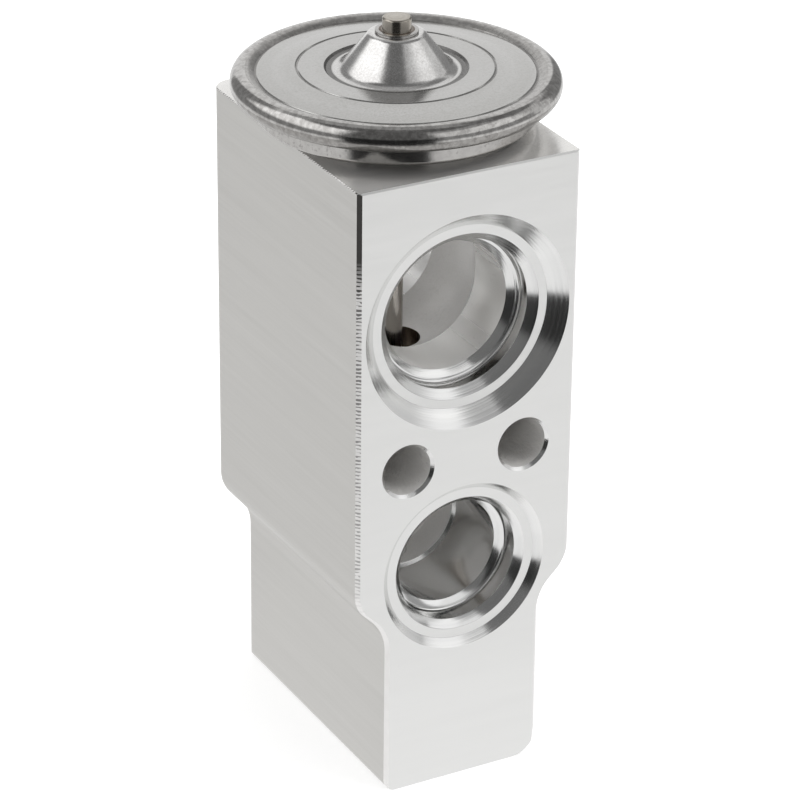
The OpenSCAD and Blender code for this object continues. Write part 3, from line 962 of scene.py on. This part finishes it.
    def sort_faces(self, bar: Piece) -> None:
        """Give each face the finish of the surface it belongs to."""
        for poly in bar.data.polygons:
            c, n, mark = poly.center / MM, poly.normal, poly.material_index
            rear = abs(c.y - self.rear_y) < abs(c.y - self.front_y)
            depth = self.rear_y - c.y if rear else c.y - self.front_y
            cut, port, low = mark == Face.FLANK, mark == Face.SUCTION, c.z < self.bolt_z
            along = depth < self.front_c and not rear and abs(n.x) > 0.4
            above = n.z > 0.4 and c.z > self.height - 1
            shelf = port and abs(n.y) > 0.95 and depth < self.shelf_depth
            if abs(c.y - self.front_y) < 0.02 and n.y < -0.9 or shelf:
                mark = Face.FRONT
            elif cut and (above and n.y < -0.4 or along and n.x > 0):
                mark = Face.FRONT
            elif mark == Face.DRILLED and depth < self.bolt_c + 0.05 and abs(n.y) > 0.3:
                mark = Face.OUTLET
            elif port and not low and depth > self.wall_depth:
                mark = Face.PASSAGE
            elif port and low:
                mark = Face.INLET if rear else Face.OUTLET
            elif not port and n.z > 0.95 and c.z > self.height - 0.5:
                mark = Face.TOP
            # The left chamfers get the broken_edge finish, whose near-black tone is a painted dark
            # reflection.
            elif cut and (along or above and n.x < -0.4):
                mark = Face.BROKEN
            poly.material_index = mark

    def finishes(self) -> list[Finish]:
        """Give the finishes in the order of the surfaces."""

        def port(name: str, z: float, pitch: float) -> TurnedFinish:
            """Give the finish of a turned port at a height."""
            tones = (0.82, 0.82, 0.81), (0.68, 0.68, 0.68), (0.1, 0.2)
            mid = (0.0, 0.0, z * MM)
            return TurnedFinish(name, *tones, centre=mid, axis=Axis.ALONG_Y, pitch=pitch, depth=0.000012)

        suction, outlet = self.ports
        passage = (0.0, 0.0, suction.z * MM)
        return [
            LinedFinish(
                "extruded_flank", (0.58, 0.572, 0.553), (0.555, 0.547, 0.528), (0.34, 0.44),
                stretch=(1.0, 0.015, 1.0), fineness=2600.0, depth=0.000006,
            ),
            port("turned_suction_port", suction.z, 0.00022),
            LinedFinish(
                "drilled_hole", (0.93, 0.92, 0.9), (0.46, 0.45, 0.44), (0.3, 0.5), 0.35,
                stretch=(1.0, 0.5, 1.0), fineness=2600.0, depth=0.00016,
            ),
            TurnedFinish(
                "bored_cavity", (0.97, 0.96, 0.945), (0.9, 0.89, 0.875), (0.36, 0.5), 0.22, pitch=0.0003,
                share=0.55, dent_scale=4200.0, dent_depth=0.00001, dent_tone=0.25,
            ),
            LinedFinish(
                "milled_front", (0.8, 0.8, 0.79), (0.76, 0.76, 0.75), (0.28, 0.36),
                stretch=(0.05, 1.0, 1.0), fineness=3000.0, depth=0.000004,
            ),
            LinedFinish(
                "milled_top", (0.86, 0.85, 0.83), (0.76, 0.75, 0.73), (0.16, 0.26), 0.7,
                stretch=(0.05, 1.0, 1.0), fineness=3600.0, depth=0.000003,
            ),
            port("turned_outlet_port", outlet.z, 0.0002),
            port("turned_inlet_port", self.rear_ports[1].z, 0.0002),
            # Painted dark reflection on the left chamfers.
            DarkReflectionEdge("broken_edge", (0.82, 0.81, 0.8), (0.06, 0.057, 0.054), (0.4, 0.55), 0.6),
            TurnedFinish(
                "bored_passage", (0.95, 0.945, 0.93), (0.86, 0.85, 0.835), (0.2, 0.32), 0.55,
                centre=passage, axis=Axis.ALONG_Y, pitch=0.0003, share=0.4,
            ),
            # Painted shade inside the seal pocket.
            TurnedFinish("bored_pocket_shade", (0.42, 0.37, 0.32), (0.24, 0.2, 0.17), (0.2, 0.35), pitch=0.0003),
        ]


# ---------------------------------------------------------------- power head


@dataclass
class PowerHead(Part):
    """The crimped sensing head: upper and lower case, charge plug, diaphragm and plate."""

    block_h: float = BLOCK_H
    disc_z: float = 83.47
    crown: float = 0.55
    moat: float = 0.25
    head_r: float = 18.96
    rim_r: float = 1.55
    rim_crest: float = 0.4
    case_t: float = 1.1
    dome_h: float = 4.73
    dome_top_r: float = 2.9
    dome_foot_r: float = 5.8
    plug_r: float = 1.67
    plug_h: float = 1.8
    drum_r: float = 16.3
    hub_r: float = 13.6
    gap: float = 0.85
    wall: float = 1.1
    inner_groove: float = 11.35
    outer_groove: float = 16.1
    moat_r: float = 8.0
    moat_shade_band: Point2 = (7.65, 8.3)
    groove_shade_half: float = 0.13
    dome_edge: float = 7.3
    rim_edge: float = 17.3
    neck_r: float = 9.95
    neck_h: float = 7.6
    hub_bore_r: float = 8.2
    chamber_h: float = 2.1
    steps: int = 256

    @property
    def rim_z(self) -> float:
        """Height of the middle of the rolled rim."""
        return self.disc_z + self.rim_crest - self.rim_r

    @property
    def clamp(self) -> float:
        """Radius at which the rim holds the lower case."""
        return self.head_r - self.rim_r - 0.2

    @property
    def low(self) -> float:
        """Height of the lower case's flange."""
        return self.rim_z - self.rim_r + 0.2

    @property
    def seat(self) -> float:
        """Height at which the upper case presses on the diaphragm."""
        return self.disc_z - self.case_t - 0.3

    def build(self) -> None:
        """Build the pieces of the head."""
        self.upper_case()
        self.lower_case()
        self.charge_plug()
        self.dress({
            "diaphragm": TurnedFinish(
                "diaphragm_foil", (0.66, 0.66, 0.65), (0.55, 0.55, 0.54), (0.2, 0.3), pitch=0.0003,
            ),
            "diaphragm_plate": TurnedFinish(
                "turned_plate", (0.52, 0.52, 0.51), (0.42, 0.42, 0.41), (0.28, 0.4), pitch=0.0002,
            ),
            "head_seal": RubberFinish("head_seal_rubber"),
        })

    def lathe_piece(self, name: str, profile: list[Point2], soft: float) -> Piece:
        """Turn a closed profile round the stroke axis.

        Args:
            name: The piece's name.
            profile: Closed loop of (radius, height) points.
            soft: Rounding of its corners.

        Returns:
            The smoothed piece.
        """
        loop = softened([profile[-1], *profile, profile[0]], soft)[1:-1]
        if profile[0][0] > 1e-6:
            loop.append(loop[0])
        return smoothed(turned(name, loop, self.steps, on_axis()))

    def upper_profile(self) -> list[Point2]:
        """Give the section of the upper case: dome, grooved disc and rolled rim."""
        dome_z, crown_z = self.disc_z + self.dome_h, self.disc_z + self.crown
        moat_z = crown_z - self.moat
        brow, sweep = 0.8, 1.6
        brow_mid = Vector((self.dome_top_r - 0.1, dome_z - brow))
        sweep_mid = Vector((self.dome_foot_r + sweep, moat_z + sweep))
        gap = sweep_mid - brow_mid
        flank = math.degrees(math.atan2(-gap.y, gap.x) + math.asin((brow + sweep) / gap.length))
        stem = self.plug_r - 0.35
        bottom = self.rim_z - self.rim_r
        clamp, low, seat, drum_in = self.clamp, self.low, self.seat, self.drum_r - self.wall

        def groove(r: float, z: float) -> list[Point2]:
            """Give one ring groove."""
            return [(r - 0.2, z), (r - 0.07, z - 0.12), (r + 0.07, z - 0.12), (r + 0.2, z)]

        return [
            (stem, dome_z),
            *arc(tuple(brow_mid), brow, 90, 90 - flank, 10),
            *arc(tuple(sweep_mid), sweep, 270 - flank, 270, 12),
            (self.moat_r, moat_z),
            (self.moat_r + self.moat, crown_z),
            *groove(self.inner_groove, crown_z),
            *groove(self.outer_groove, self.disc_z),
            *arc((self.head_r - self.rim_r, self.rim_z), self.rim_r, 120, -90, 36),
            (clamp - 0.25, bottom),
            (clamp - 0.25, low - 0.02),
            (clamp + 0.02, low - 0.02),
            (clamp + 0.02, seat),
            (drum_in, seat),
            (drum_in - 0.3, self.disc_z - self.case_t),
            (self.inner_groove, crown_z - self.case_t),
            *arc(tuple(sweep_mid), sweep + self.case_t, 270, 270 - flank, 12),
            (brow_mid.x - 0.9, dome_z - self.case_t),
            (stem, dome_z - self.case_t),
        ]

    def upper_case(self) -> None:
        """Build the dome, the grooved disc and the rolled rim, with painted shade in the moat, in the
        grooves and under the rim.
        """
        piece = self.lathe_piece("head_upper", self.upper_profile(), 0.06)
        for poly in piece.data.polygons:
            c = poly.center / MM
            r = math.hypot(c.x, c.y - AXIS_Y)
            facing_up = poly.normal.z > 0.2
            grooved = min(abs(r - self.inner_groove), abs(r - self.outer_groove)) < self.groove_shade_half
            if r > self.rim_edge:
                # Painted shade: the rim's downward faces get a darker finish.
                poly.material_index = Skin.UNDERSIDE_SHADE if poly.normal.z < -0.08 else Skin.RIM
            # Painted shadow: upward faces in the band round the dome's foot are painted dark.
            elif facing_up and self.moat_shade_band[0] < r < self.moat_shade_band[1]:
                poly.material_index = Skin.MOAT_SHADE
            # Painted shade: upward faces in the two ring grooves get a darker finish.
            elif facing_up and grooved:
                poly.material_index = Skin.GROOVE_SHADE
            elif r > self.outer_groove and facing_up:
                poly.material_index = Skin.BAND
            elif r < self.dome_edge:
                poly.material_index = Skin.DOME
        rolled = {
            "pitch": 0.0006, "depth": 0.000004, "speck_scale": 1700.0,
            "dent_scale": 1500.0, "dent_depth": 0.000009, "dent_tone": 0.3,
        }
        self.settle(
            piece,
            [
                TurnedFinish(
                    "pressed_disc", (0.525, 0.52, 0.51), (0.45, 0.445, 0.43), (0.1, 0.16), pitch=0.0005,
                    depth=0.000002, share=0.42, dent_scale=3600.0, dent_depth=0.000002, dent_tone=0.3,
                ),
                TurnedFinish(
                    "rolled_rim", (0.62, 0.61, 0.595), (0.36, 0.35, 0.34), (0.1, 0.16), share=0.5,
                    **rolled,
                ),
                TurnedFinish(
                    "outer_band", (0.48, 0.47, 0.455), (0.34, 0.33, 0.32), (0.24, 0.34), pitch=0.0005,
                    depth=0.000003, share=0.6, speck_scale=1500.0, dent_scale=2000.0, dent_depth=0.000006,
                    dent_tone=0.35,
                ),
                TurnedFinish(
                    "blasted_dome", (0.76, 0.755, 0.745), (0.58, 0.57, 0.56), (0.16, 0.23), pitch=0.0005,
                    depth=0.000002, share=0.4, dent_scale=4200.0, dent_depth=0.000004, dent_tone=0.3,
                ),
                # Painted shadow in the moat round the dome's foot.
                TurnedFinish(
                    "moat_shadow", (0.26, 0.255, 0.25), (0.15, 0.147, 0.142), (0.3, 0.42), pitch=0.0005,
                    share=0.5,
                ),
                # Painted shade in the ring grooves.
                TurnedFinish(
                    "ring_groove_shade", (0.34, 0.33, 0.32), (0.22, 0.215, 0.21), (0.3, 0.45), pitch=0.0005,
                    share=0.5,
                ),
                # Painted shade under the rolled rim.
                TurnedFinish(
                    "rim_underside_shade", (0.42, 0.41, 0.395), (0.26, 0.25, 0.24), (0.16, 0.26), share=0.6,
                    **rolled,
                ),
            ],
            Slot.CASE,
            "upper_case",
        )

    def lower_case(self) -> None:
        """Build the clamping flange, the drum, the hub and the neck."""
        neck, hole, foot = self.neck_r, self.hub_bore_r, self.block_h - self.neck_h
        clamp, low, seat, inside = self.clamp, self.low, self.seat - 0.16, self.drum_r - self.wall
        stop = seat - self.chamber_h
        c = 0.55
        profile = [
            (clamp, seat),
            (clamp, low),
            *arc((self.drum_r + c, low - c), c, 90, 180, 8),
            *arc((self.drum_r - c, self.block_h + self.gap + c), c, 0, -90, 8),
            (self.hub_r, self.block_h + self.gap),
            (self.hub_r, self.block_h),
            (neck, self.block_h),
            (neck, foot + 0.5),
            (neck - 0.5, foot),
            (hole, foot),
            (hole, stop),
            *arc((inside - c, stop + c), c, -90, 0, 8),
            (inside, seat),
        ]
        skin = TurnedFinish(
            "pressed_drum", (0.5, 0.49, 0.475), (0.36, 0.35, 0.34), (0.12, 0.2), pitch=0.0004, share=0.5,
            dent_scale=1100.0, dent_depth=0.000008, dent_tone=0.2,
        )
        self.settle(self.lathe_piece("head_lower", profile, 0.05), [skin], Slot.CASE, "lower_case")

    def charge_plug(self) -> None:
        """Build the welded plug on the dome."""
        z = self.disc_z + self.dome_h
        stem = self.plug_r - 0.37
        profile = [
            (0.0, z - 1.5),
            (stem, z - 1.5),
            (stem, z),
            (self.plug_r + 0.83, z),
            (self.plug_r + 0.83, z + 0.3),
            (self.plug_r + 0.4, z + 0.3),
            (self.plug_r, z + 0.3),
            (self.plug_r, z + self.plug_h - 0.15),
            (self.plug_r - 0.15, z + self.plug_h),
            (0.0, z + self.plug_h),
        ]
        piece = smoothed(turned("charge_plug_turned", softened(profile, 0.06), 96, on_axis()))
        for poly in piece.data.polygons:
            c = poly.center / MM
            beyond = math.hypot(c.x, c.y - AXIS_Y) - self.plug_r
            # Index 1, the narrow ring just outside the plug, is a painted shadow round its foot.
            poly.material_index = 0 if beyond < 0.05 else 1 if beyond < 0.4 else 2
        self.settle(
            piece,
            [
                TurnedFinish(
                    "turned_plug", (0.52, 0.49, 0.44), (0.36, 0.33, 0.29), (0.14, 0.26), pitch=0.00012,
                ),
                # Painted shadow round the plug's foot.
                TurnedFinish(
                    "plug_foot_shadow", (0.24, 0.2, 0.17), (0.12, 0.1, 0.085), (0.3, 0.45), pitch=0.0002,
                    share=0.6,
                ),
                TurnedFinish(
                    "welded_flange", (0.56, 0.545, 0.53), (0.44, 0.43, 0.42), (0.2, 0.3), pitch=0.0002,
                    share=0.5,
                ),
            ],
            Slot.PLUG,
            "charge_plug",
        )


# ---------------------------------------------------------------- valve train


@dataclass
class ValveTrain(Part):
    """Rod, seal, seat, ball, carrier, clip and spring on the stroke axis."""

    moving = "valve_train"
    screw_room: float = 0.42
    wire_r: float = 0.45
    coil_r: float = 3.7

    def build(self) -> None:
        """Dress the pieces and wind the spring."""
        self.dress({
            "push_rod": TurnedFinish(
                "ground_rod", (0.56, 0.53, 0.49), (0.4, 0.37, 0.34), (0.2, 0.32), pitch=0.0002,
            ),
            "rod_seal_retainer": TurnedFinish(
                "stamped_washer", (0.6, 0.6, 0.59), (0.48, 0.48, 0.47), (0.2, 0.3),
            ),
            "rod_seal": RubberFinish("rod_seal_rubber"),
            "valve_seat": TurnedFinish("lapped_seat", (0.6, 0.6, 0.6), (0.5, 0.5, 0.5), (0.12, 0.2)),
            "valve_ball": TurnedFinish(
                "polished_ball", (0.72, 0.72, 0.73), (0.66, 0.66, 0.67), (0.04, 0.08), depth=0.0000005,
                share=0.1,
            ),
            "ball_carrier": TurnedFinish(
                "turned_carrier", (0.5, 0.5, 0.49), (0.4, 0.4, 0.39), (0.24, 0.34),
            ),
            "damping_clip": LinedFinish(
                "spring_strip", (0.6, 0.6, 0.6), (0.5, 0.5, 0.5), (0.18, 0.28), stretch=(0.2, 1.0, 1.0),
            ),
        })
        self.spring()

    def coil_tree(self) -> bpy.types.NodeTree:
        """Build the Geometry Nodes tree that winds a coil with closed ends."""
        tree = bpy.data.node_groups.new("wound_coil", "GeometryNodeTree")
        face = tree.interface
        for name in ("Coil Radius", "Wire Radius", "Low", "High", "Turns", "End Turns", "Axis Y"):
            face.new_socket(name, in_out="INPUT", socket_type="NodeSocketFloat")
        face.new_socket("Finish", in_out="INPUT", socket_type="NodeSocketMaterial")
        face.new_socket("Geometry", in_out="OUTPUT", socket_type="NodeSocketGeometry")
        net = Net(tree)
        given = net.add("NodeGroupInput").outputs
        turns, end_turns, coil_r, wire_r = (
            given[name] for name in ("Turns", "End Turns", "Coil Radius", "Wire Radius")
        )
        line = net.add("GeometryNodeCurvePrimitiveLine").outputs[0]
        points = net.put("GeometryNodeResampleCurve", {"Curve": line, "Count": 300}).outputs[0]
        share = net.add("GeometryNodeSplineParameter").outputs["Factor"]
        turn = net.math("MULTIPLY", share, turns)
        angle = net.math("MULTIPLY", turn, 2 * math.pi)
        pitch = net.math("MULTIPLY", wire_r, 2.05)
        ends = net.math("MULTIPLY", end_turns, pitch)
        last = net.math("SUBTRACT", turns, end_turns)
        closed_low = net.math("MULTIPLY", net.math("MINIMUM", turn, end_turns), pitch)
        beyond = net.math("MAXIMUM", net.math("SUBTRACT", turn, last), 0.0)
        closed_high = net.math("MULTIPLY", beyond, pitch)
        tall = net.math("SUBTRACT", given["High"], given["Low"])
        rise = net.math("SUBTRACT", tall, net.math("MULTIPLY", ends, 2.0))
        start, whole = net.math("SUBTRACT", turn, end_turns), net.math("SUBTRACT", last, end_turns)
        open_part = net.math("MULTIPLY", rise, net.math("DIVIDE", start, whole, clamp=True))
        upper = net.math("ADD", closed_low, net.math("ADD", closed_high, open_part))
        across = net.math("MULTIPLY", coil_r, net.math("COSINE", angle))
        along = net.math("MULTIPLY", coil_r, net.math("SINE", angle))
        spot = {
            0: across, 1: net.math("ADD", given["Axis Y"], along), 2: net.math("ADD", given["Low"], upper),
        }
        place = net.put("ShaderNodeCombineXYZ", spot).outputs[0]
        wound = net.put("GeometryNodeSetPosition", {"Geometry": points, "Position": place}).outputs[0]
        ring = net.put("GeometryNodeCurvePrimitiveCircle", {"Resolution": 20, "Radius": wire_r}).outputs[0]
        sweep = {"Curve": wound, "Profile Curve": ring, "Fill Caps": True}
        wire = net.put("GeometryNodeCurveToMesh", sweep).outputs[0]
        real = net.put("GeometryNodeRealizeInstances", {0: wire}).outputs[0]
        coat = net.put("GeometryNodeSetMaterial", {"Geometry": real, "Material": given["Finish"]})
        net.put("NodeGroupOutput", {0: coat.outputs[0]})
        return tree

    def spring(self) -> None:
        """Wind the spring as a round wire where the solid one is.

        Its top is at the solid spring's top, and its foot leaves the adjusting screw room to come up.
        """
        low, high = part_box("valve_spring")
        foot = low.z + self.screw_room * MM
        finish = LinedFinish(
            "spring_wire", (0.56, 0.56, 0.56), (0.44, 0.44, 0.44), (0.2, 0.3), stretch=(1.0, 1.0, 0.3),
            fineness=3000.0,
        )
        piece = link(bpy.data.meshes.new("spring_wound"))
        wind = piece.modifiers.new("wind", "NODES")
        wind.node_group = self.coil_tree()
        values = {
            "Coil Radius": self.coil_r * MM,
            "Wire Radius": self.wire_r * MM,
            "Low": foot + self.wire_r * MM,
            "High": high.z - self.wire_r * MM,
            "Turns": 5.0,
            "End Turns": 0.75,
            "Axis Y": AXIS_Y * MM,
            "Finish": finish.build(),
        }
        for item in wind.node_group.interface.items_tree:
            if item.item_type == "SOCKET" and item.in_out == "INPUT":
                wind[item.identifier] = values[item.name]
        baked(piece)
        smoothed(piece, 50.0)
        self.settle(piece, [finish], Slot.SPRING, "valve_spring", rides=False)
        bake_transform(piece)


class Adjuster(Part):
    """The adjusting screw in the foot, and its seal."""

    def build(self) -> None:
        """Dress the screw and the seal."""
        self.dress({
            "adjusting_screw": TurnedFinish(
                "turned_screw", (0.6, 0.59, 0.56), (0.48, 0.47, 0.44), (0.22, 0.34),
            ),
            "adjuster_seal": RubberFinish("adjuster_seal_rubber"),
        })


# ---------------------------------------------------------------- studio


@dataclass(frozen=True)
class Lamp:
    """One soft area lamp aimed at the valve."""

    name: str
    place: Triple
    size: float
    power: float


@dataclass(frozen=True)
class Patch:
    """A field of the tent round the valve, in degrees, with the brightness it shows in the metal."""

    name: str
    azimuth: float
    half_width: float
    elevation: float
    half_height: float
    soft: float
    level: float


@dataclass
class Studio:
    """Camera, lamps, floor and surroundings."""

    azimuth: float = -28.7477
    elevation: float = 26.3548
    roll: float = 0.6112
    distance: float = 0.4586
    lens: float = 173.8
    target: Triple = (0.001465, 0.0007175, 0.04094)
    tent_r: float = 0.6
    tent_mid: float = 0.05
    tent_level: float = 0.95
    near_floor: Point2 = (0.098, 0.112)
    patches: tuple[Patch, ...] = (
        Patch("ceiling", 0.0, 190.0, 75.0, 26.5, 4.0, 0.45),
        Patch("front_ceiling", -30.0, 115.0, 78.0, 17.0, 4.0, 0.2),
        Patch("horizon", -45.0, 130.0, 5.0, 14.0, 4.0, 0.35),
        Patch("left_back", -165.0, 17.0, 20.0, 30.0, 5.0, 0.3),
        Patch("left_screen", -108.0, 38.0, 41.0, 20.0, 4.0, 1.5),
        Patch("right_back", 118.0, 22.0, 14.0, 22.0, 4.0, 0.3),
        Patch("right_gap", 98.0, 26.0, 53.0, 17.0, 5.0, 0.25),
        Patch("right_screen", 52.0, 18.0, 33.0, 17.5, 3.0, 1.1),
        Patch("right_side", 85.0, 12.0, 20.0, 24.0, 4.0, 0.7),
    )
    opening: Patch = Patch("opening", -33.0, 34.0, 0.0, 76.0, 4.0, 0.03)
    veil: Patch = Patch("veil", -33.0, 60.0, 45.0, 39.0, 8.0, 0.17)
    lamps: tuple[Lamp, ...] = (
        Lamp("left_box", (-0.62, 0.35, 0.45), 0.5, 4.0),
        Lamp("right_box", (0.5, -0.35, 0.65), 0.5, 4.0),
    )

    def back(self) -> Vector:
        """Direction from the target to the camera."""
        az, el = math.radians(self.azimuth), math.radians(self.elevation)
        return Vector((math.sin(az) * math.cos(el), -math.cos(az) * math.cos(el), math.sin(el)))

    def camera(self) -> None:
        """Place the camera at the photograph's viewing angle."""
        back = self.back()
        right = (-back).cross(Vector((0, 0, 1))).normalized()
        up = right.cross(-back)
        r = math.radians(self.roll)
        right, up = right * math.cos(r) + up * math.sin(r), -right * math.sin(r) + up * math.cos(r)
        data = bpy.data.cameras.new("camera")
        data.sensor_width, data.lens = 36.0, self.lens
        data.clip_start, data.clip_end = 0.01, 20.0
        eye = bpy.data.objects.new("camera", data)
        bpy.context.scene.collection.objects.link(eye)
        turn = Matrix((right, up, back)).transposed().to_4x4()
        eye.matrix_world = Matrix.Translation(Vector(self.target) + back * self.distance) @ turn
        bpy.context.scene.camera = eye

    def light(self) -> None:
        """Place the lamps."""
        for lamp in self.lamps:
            data = bpy.data.lights.new(lamp.name, "AREA")
            data.shape, data.size, data.energy = "DISK", lamp.size, lamp.power
            obj = bpy.data.objects.new(lamp.name, data)
            bpy.context.scene.collection.objects.link(obj)
            aim = Vector((0, 0, 0.05)) - Vector(lamp.place)
            turn = aim.to_track_quat("-Z", "Y").to_matrix().to_4x4()
            obj.matrix_world = Matrix.Translation(lamp.place) @ turn
            obj.visible_glossy = False

    def surround(self) -> None:
        """Build a white world that metal reflects, with a plain level for diffuse light."""
        world = bpy.data.worlds.new("studio")
        bpy.context.scene.world = world
        world.use_nodes = True
        net = Net(world.node_tree)
        ground = world.node_tree.nodes["Background"]
        path = net.add("ShaderNodeLightPath").outputs
        mirrored = net.math("MAXIMUM", path["Is Glossy Ray"], path["Is Transmission Ray"])
        seen = net.math("MAXIMUM", path["Is Camera Ray"], mirrored)
        net.feed(ground.inputs["Color"], (1.0, 1.0, 1.0, 1.0))
        net.feed(ground.inputs["Strength"], net.span(seen, 0.0, 1.0, 0.75, 1.0))
        world.cycles.sampling_method = "NONE"

    def inside(self, net: Net, patch: Patch, azimuth: Socket, elevation: Socket) -> Socket:
        """Give the mask of a patch.

        Args:
            net: The tent's tree.
            patch: The patch.
            azimuth: Azimuth in radians, 0 in front and positive to the right.
            elevation: Elevation in radians.

        Returns:
            The mask's socket, 1 inside.
        """
        masks = []
        for angle, mid, half in (
            (azimuth, patch.azimuth, patch.half_width),
            (elevation, patch.elevation, patch.half_height),
        ):
            off = net.math("ABSOLUTE", net.math("SUBTRACT", angle, math.radians(mid)))
            masks.append(net.span(off, math.radians(half - patch.soft), math.radians(half), 1.0, 0.0))
        return net.math("MULTIPLY", *masks)

    def tent(self) -> None:
        """Stand a tent round the valve that shows only in the metal's reflections.

        The photograph was taken from the open side of a bright tent: a sector of the surroundings,
        with the camera in its middle, is dark beyond the floor next to the valve.
        """
        around, up = 72, 18
        r, z = 1000 * self.tent_r, 0.4
        turns = [math.pi / 2 * i / up for i in range(1, up)]
        roof = [(r * math.cos(a), z + r * math.sin(a)) for a in turns]
        obj = turned("tent", [(40.0, z), (r, z), *roof, (0.0, r)], around, Matrix.Identity(4))
        black = {"Base_Color": (0, 0, 0, 1), "Specular_IOR_Level": 0.0, "Emission_Strength": 1.0}
        paint, net, shader = painted("tent", **black)
        split = net.put("ShaderNodeSeparateXYZ", {0: net.add("ShaderNodeTexCoord").outputs["Object"]})
        x, y, z = split.outputs
        azimuth = net.math("ARCTAN2", x, net.math("MULTIPLY", y, -1.0))
        squares = net.math("ADD", net.math("MULTIPLY", x, x), net.math("MULTIPLY", y, y))
        reach = net.math("SQRT", squares)
        elevation = net.math("ARCTAN2", net.math("SUBTRACT", z, self.tent_mid), reach)
        level = self.tent_level
        for patch in self.patches:
            level = net.span(self.inside(net, patch, azimuth, elevation), 0.0, 1.0, level, patch.level)
        far = net.span(reach, *self.near_floor, 0.0, 1.0)
        near_wall = net.span(z, 0.001, 0.002, far, 1.0)
        opening = net.math("MULTIPLY", self.inside(net, self.opening, azimuth, elevation), near_wall)
        veil = self.inside(net, self.veil, azimuth, elevation)
        dark = net.span(veil, 0.0, 1.0, self.opening.level, self.veil.level)
        level = net.span(opening, 0.0, 1.0, level, dark)
        tone = net.put("ShaderNodeCombineColor", dict.fromkeys(range(3), level))
        net.feed(shader.inputs["Emission Color"], tone.outputs[0])
        obj.data.materials.append(paint)
        paint.cycles.emission_sampling = "NONE"
        obj.visible_camera = obj.visible_diffuse = obj.visible_shadow = obj.visible_transmission = False

    def floor(self) -> None:
        """Build a plain pale floor that keeps the valve's shadow."""
        mesh = bpy.data.meshes.new("floor")
        mesh.from_pydata([(-3, -3, 0), (3, -3, 0), (3, 3, 0), (-3, 3, 0)], [], [(0, 1, 2, 3)])
        obj = link(mesh)
        pale = {"Base_Color": (0.9, 0.9, 0.9, 1), "Roughness": 0.9, "Specular_IOR_Level": 0.1}
        paint, net, shader = painted("floor", **pale)
        mesh.materials.append(paint)
        paint.cycles.emission_sampling = "NONE"
        path = net.add("ShaderNodeLightPath").outputs
        net.feed(shader.inputs["Emission Color"], (1.0, 1.0, 1.0, 1.0))
        net.feed(shader.inputs["Emission Strength"], net.math("MULTIPLY", path["Is Camera Ray"], 0.22))
        white = net.add("ShaderNodeEmission").outputs[0]
        seen = net.math("MAXIMUM", path["Is Glossy Ray"], path["Is Transmission Ray"])
        blend = net.put("ShaderNodeMixShader", {0: seen, 1: shader.outputs[0], 2: white})
        net.feed(paint.node_tree.nodes["Material Output"].inputs["Surface"], blend.outputs[0])

    def build(self) -> None:
        """Set up the whole studio."""
        self.camera()
        self.light()
        self.surround()
        self.floor()
        self.tent()
        bpy.context.scene.view_settings.view_transform = "Standard"


def main() -> None:
    """Build the valve's looks and its studio."""
    logging.basicConfig(level=logging.INFO, format="%(name)s: %(message)s")
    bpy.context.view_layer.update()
    parts: tuple[Part, ...] = (ValveBlock(), PowerHead(), ValveTrain(), Adjuster())
    for part in parts:
        part.build()
    Studio().build()


if __name__ == "__main__":
    main()
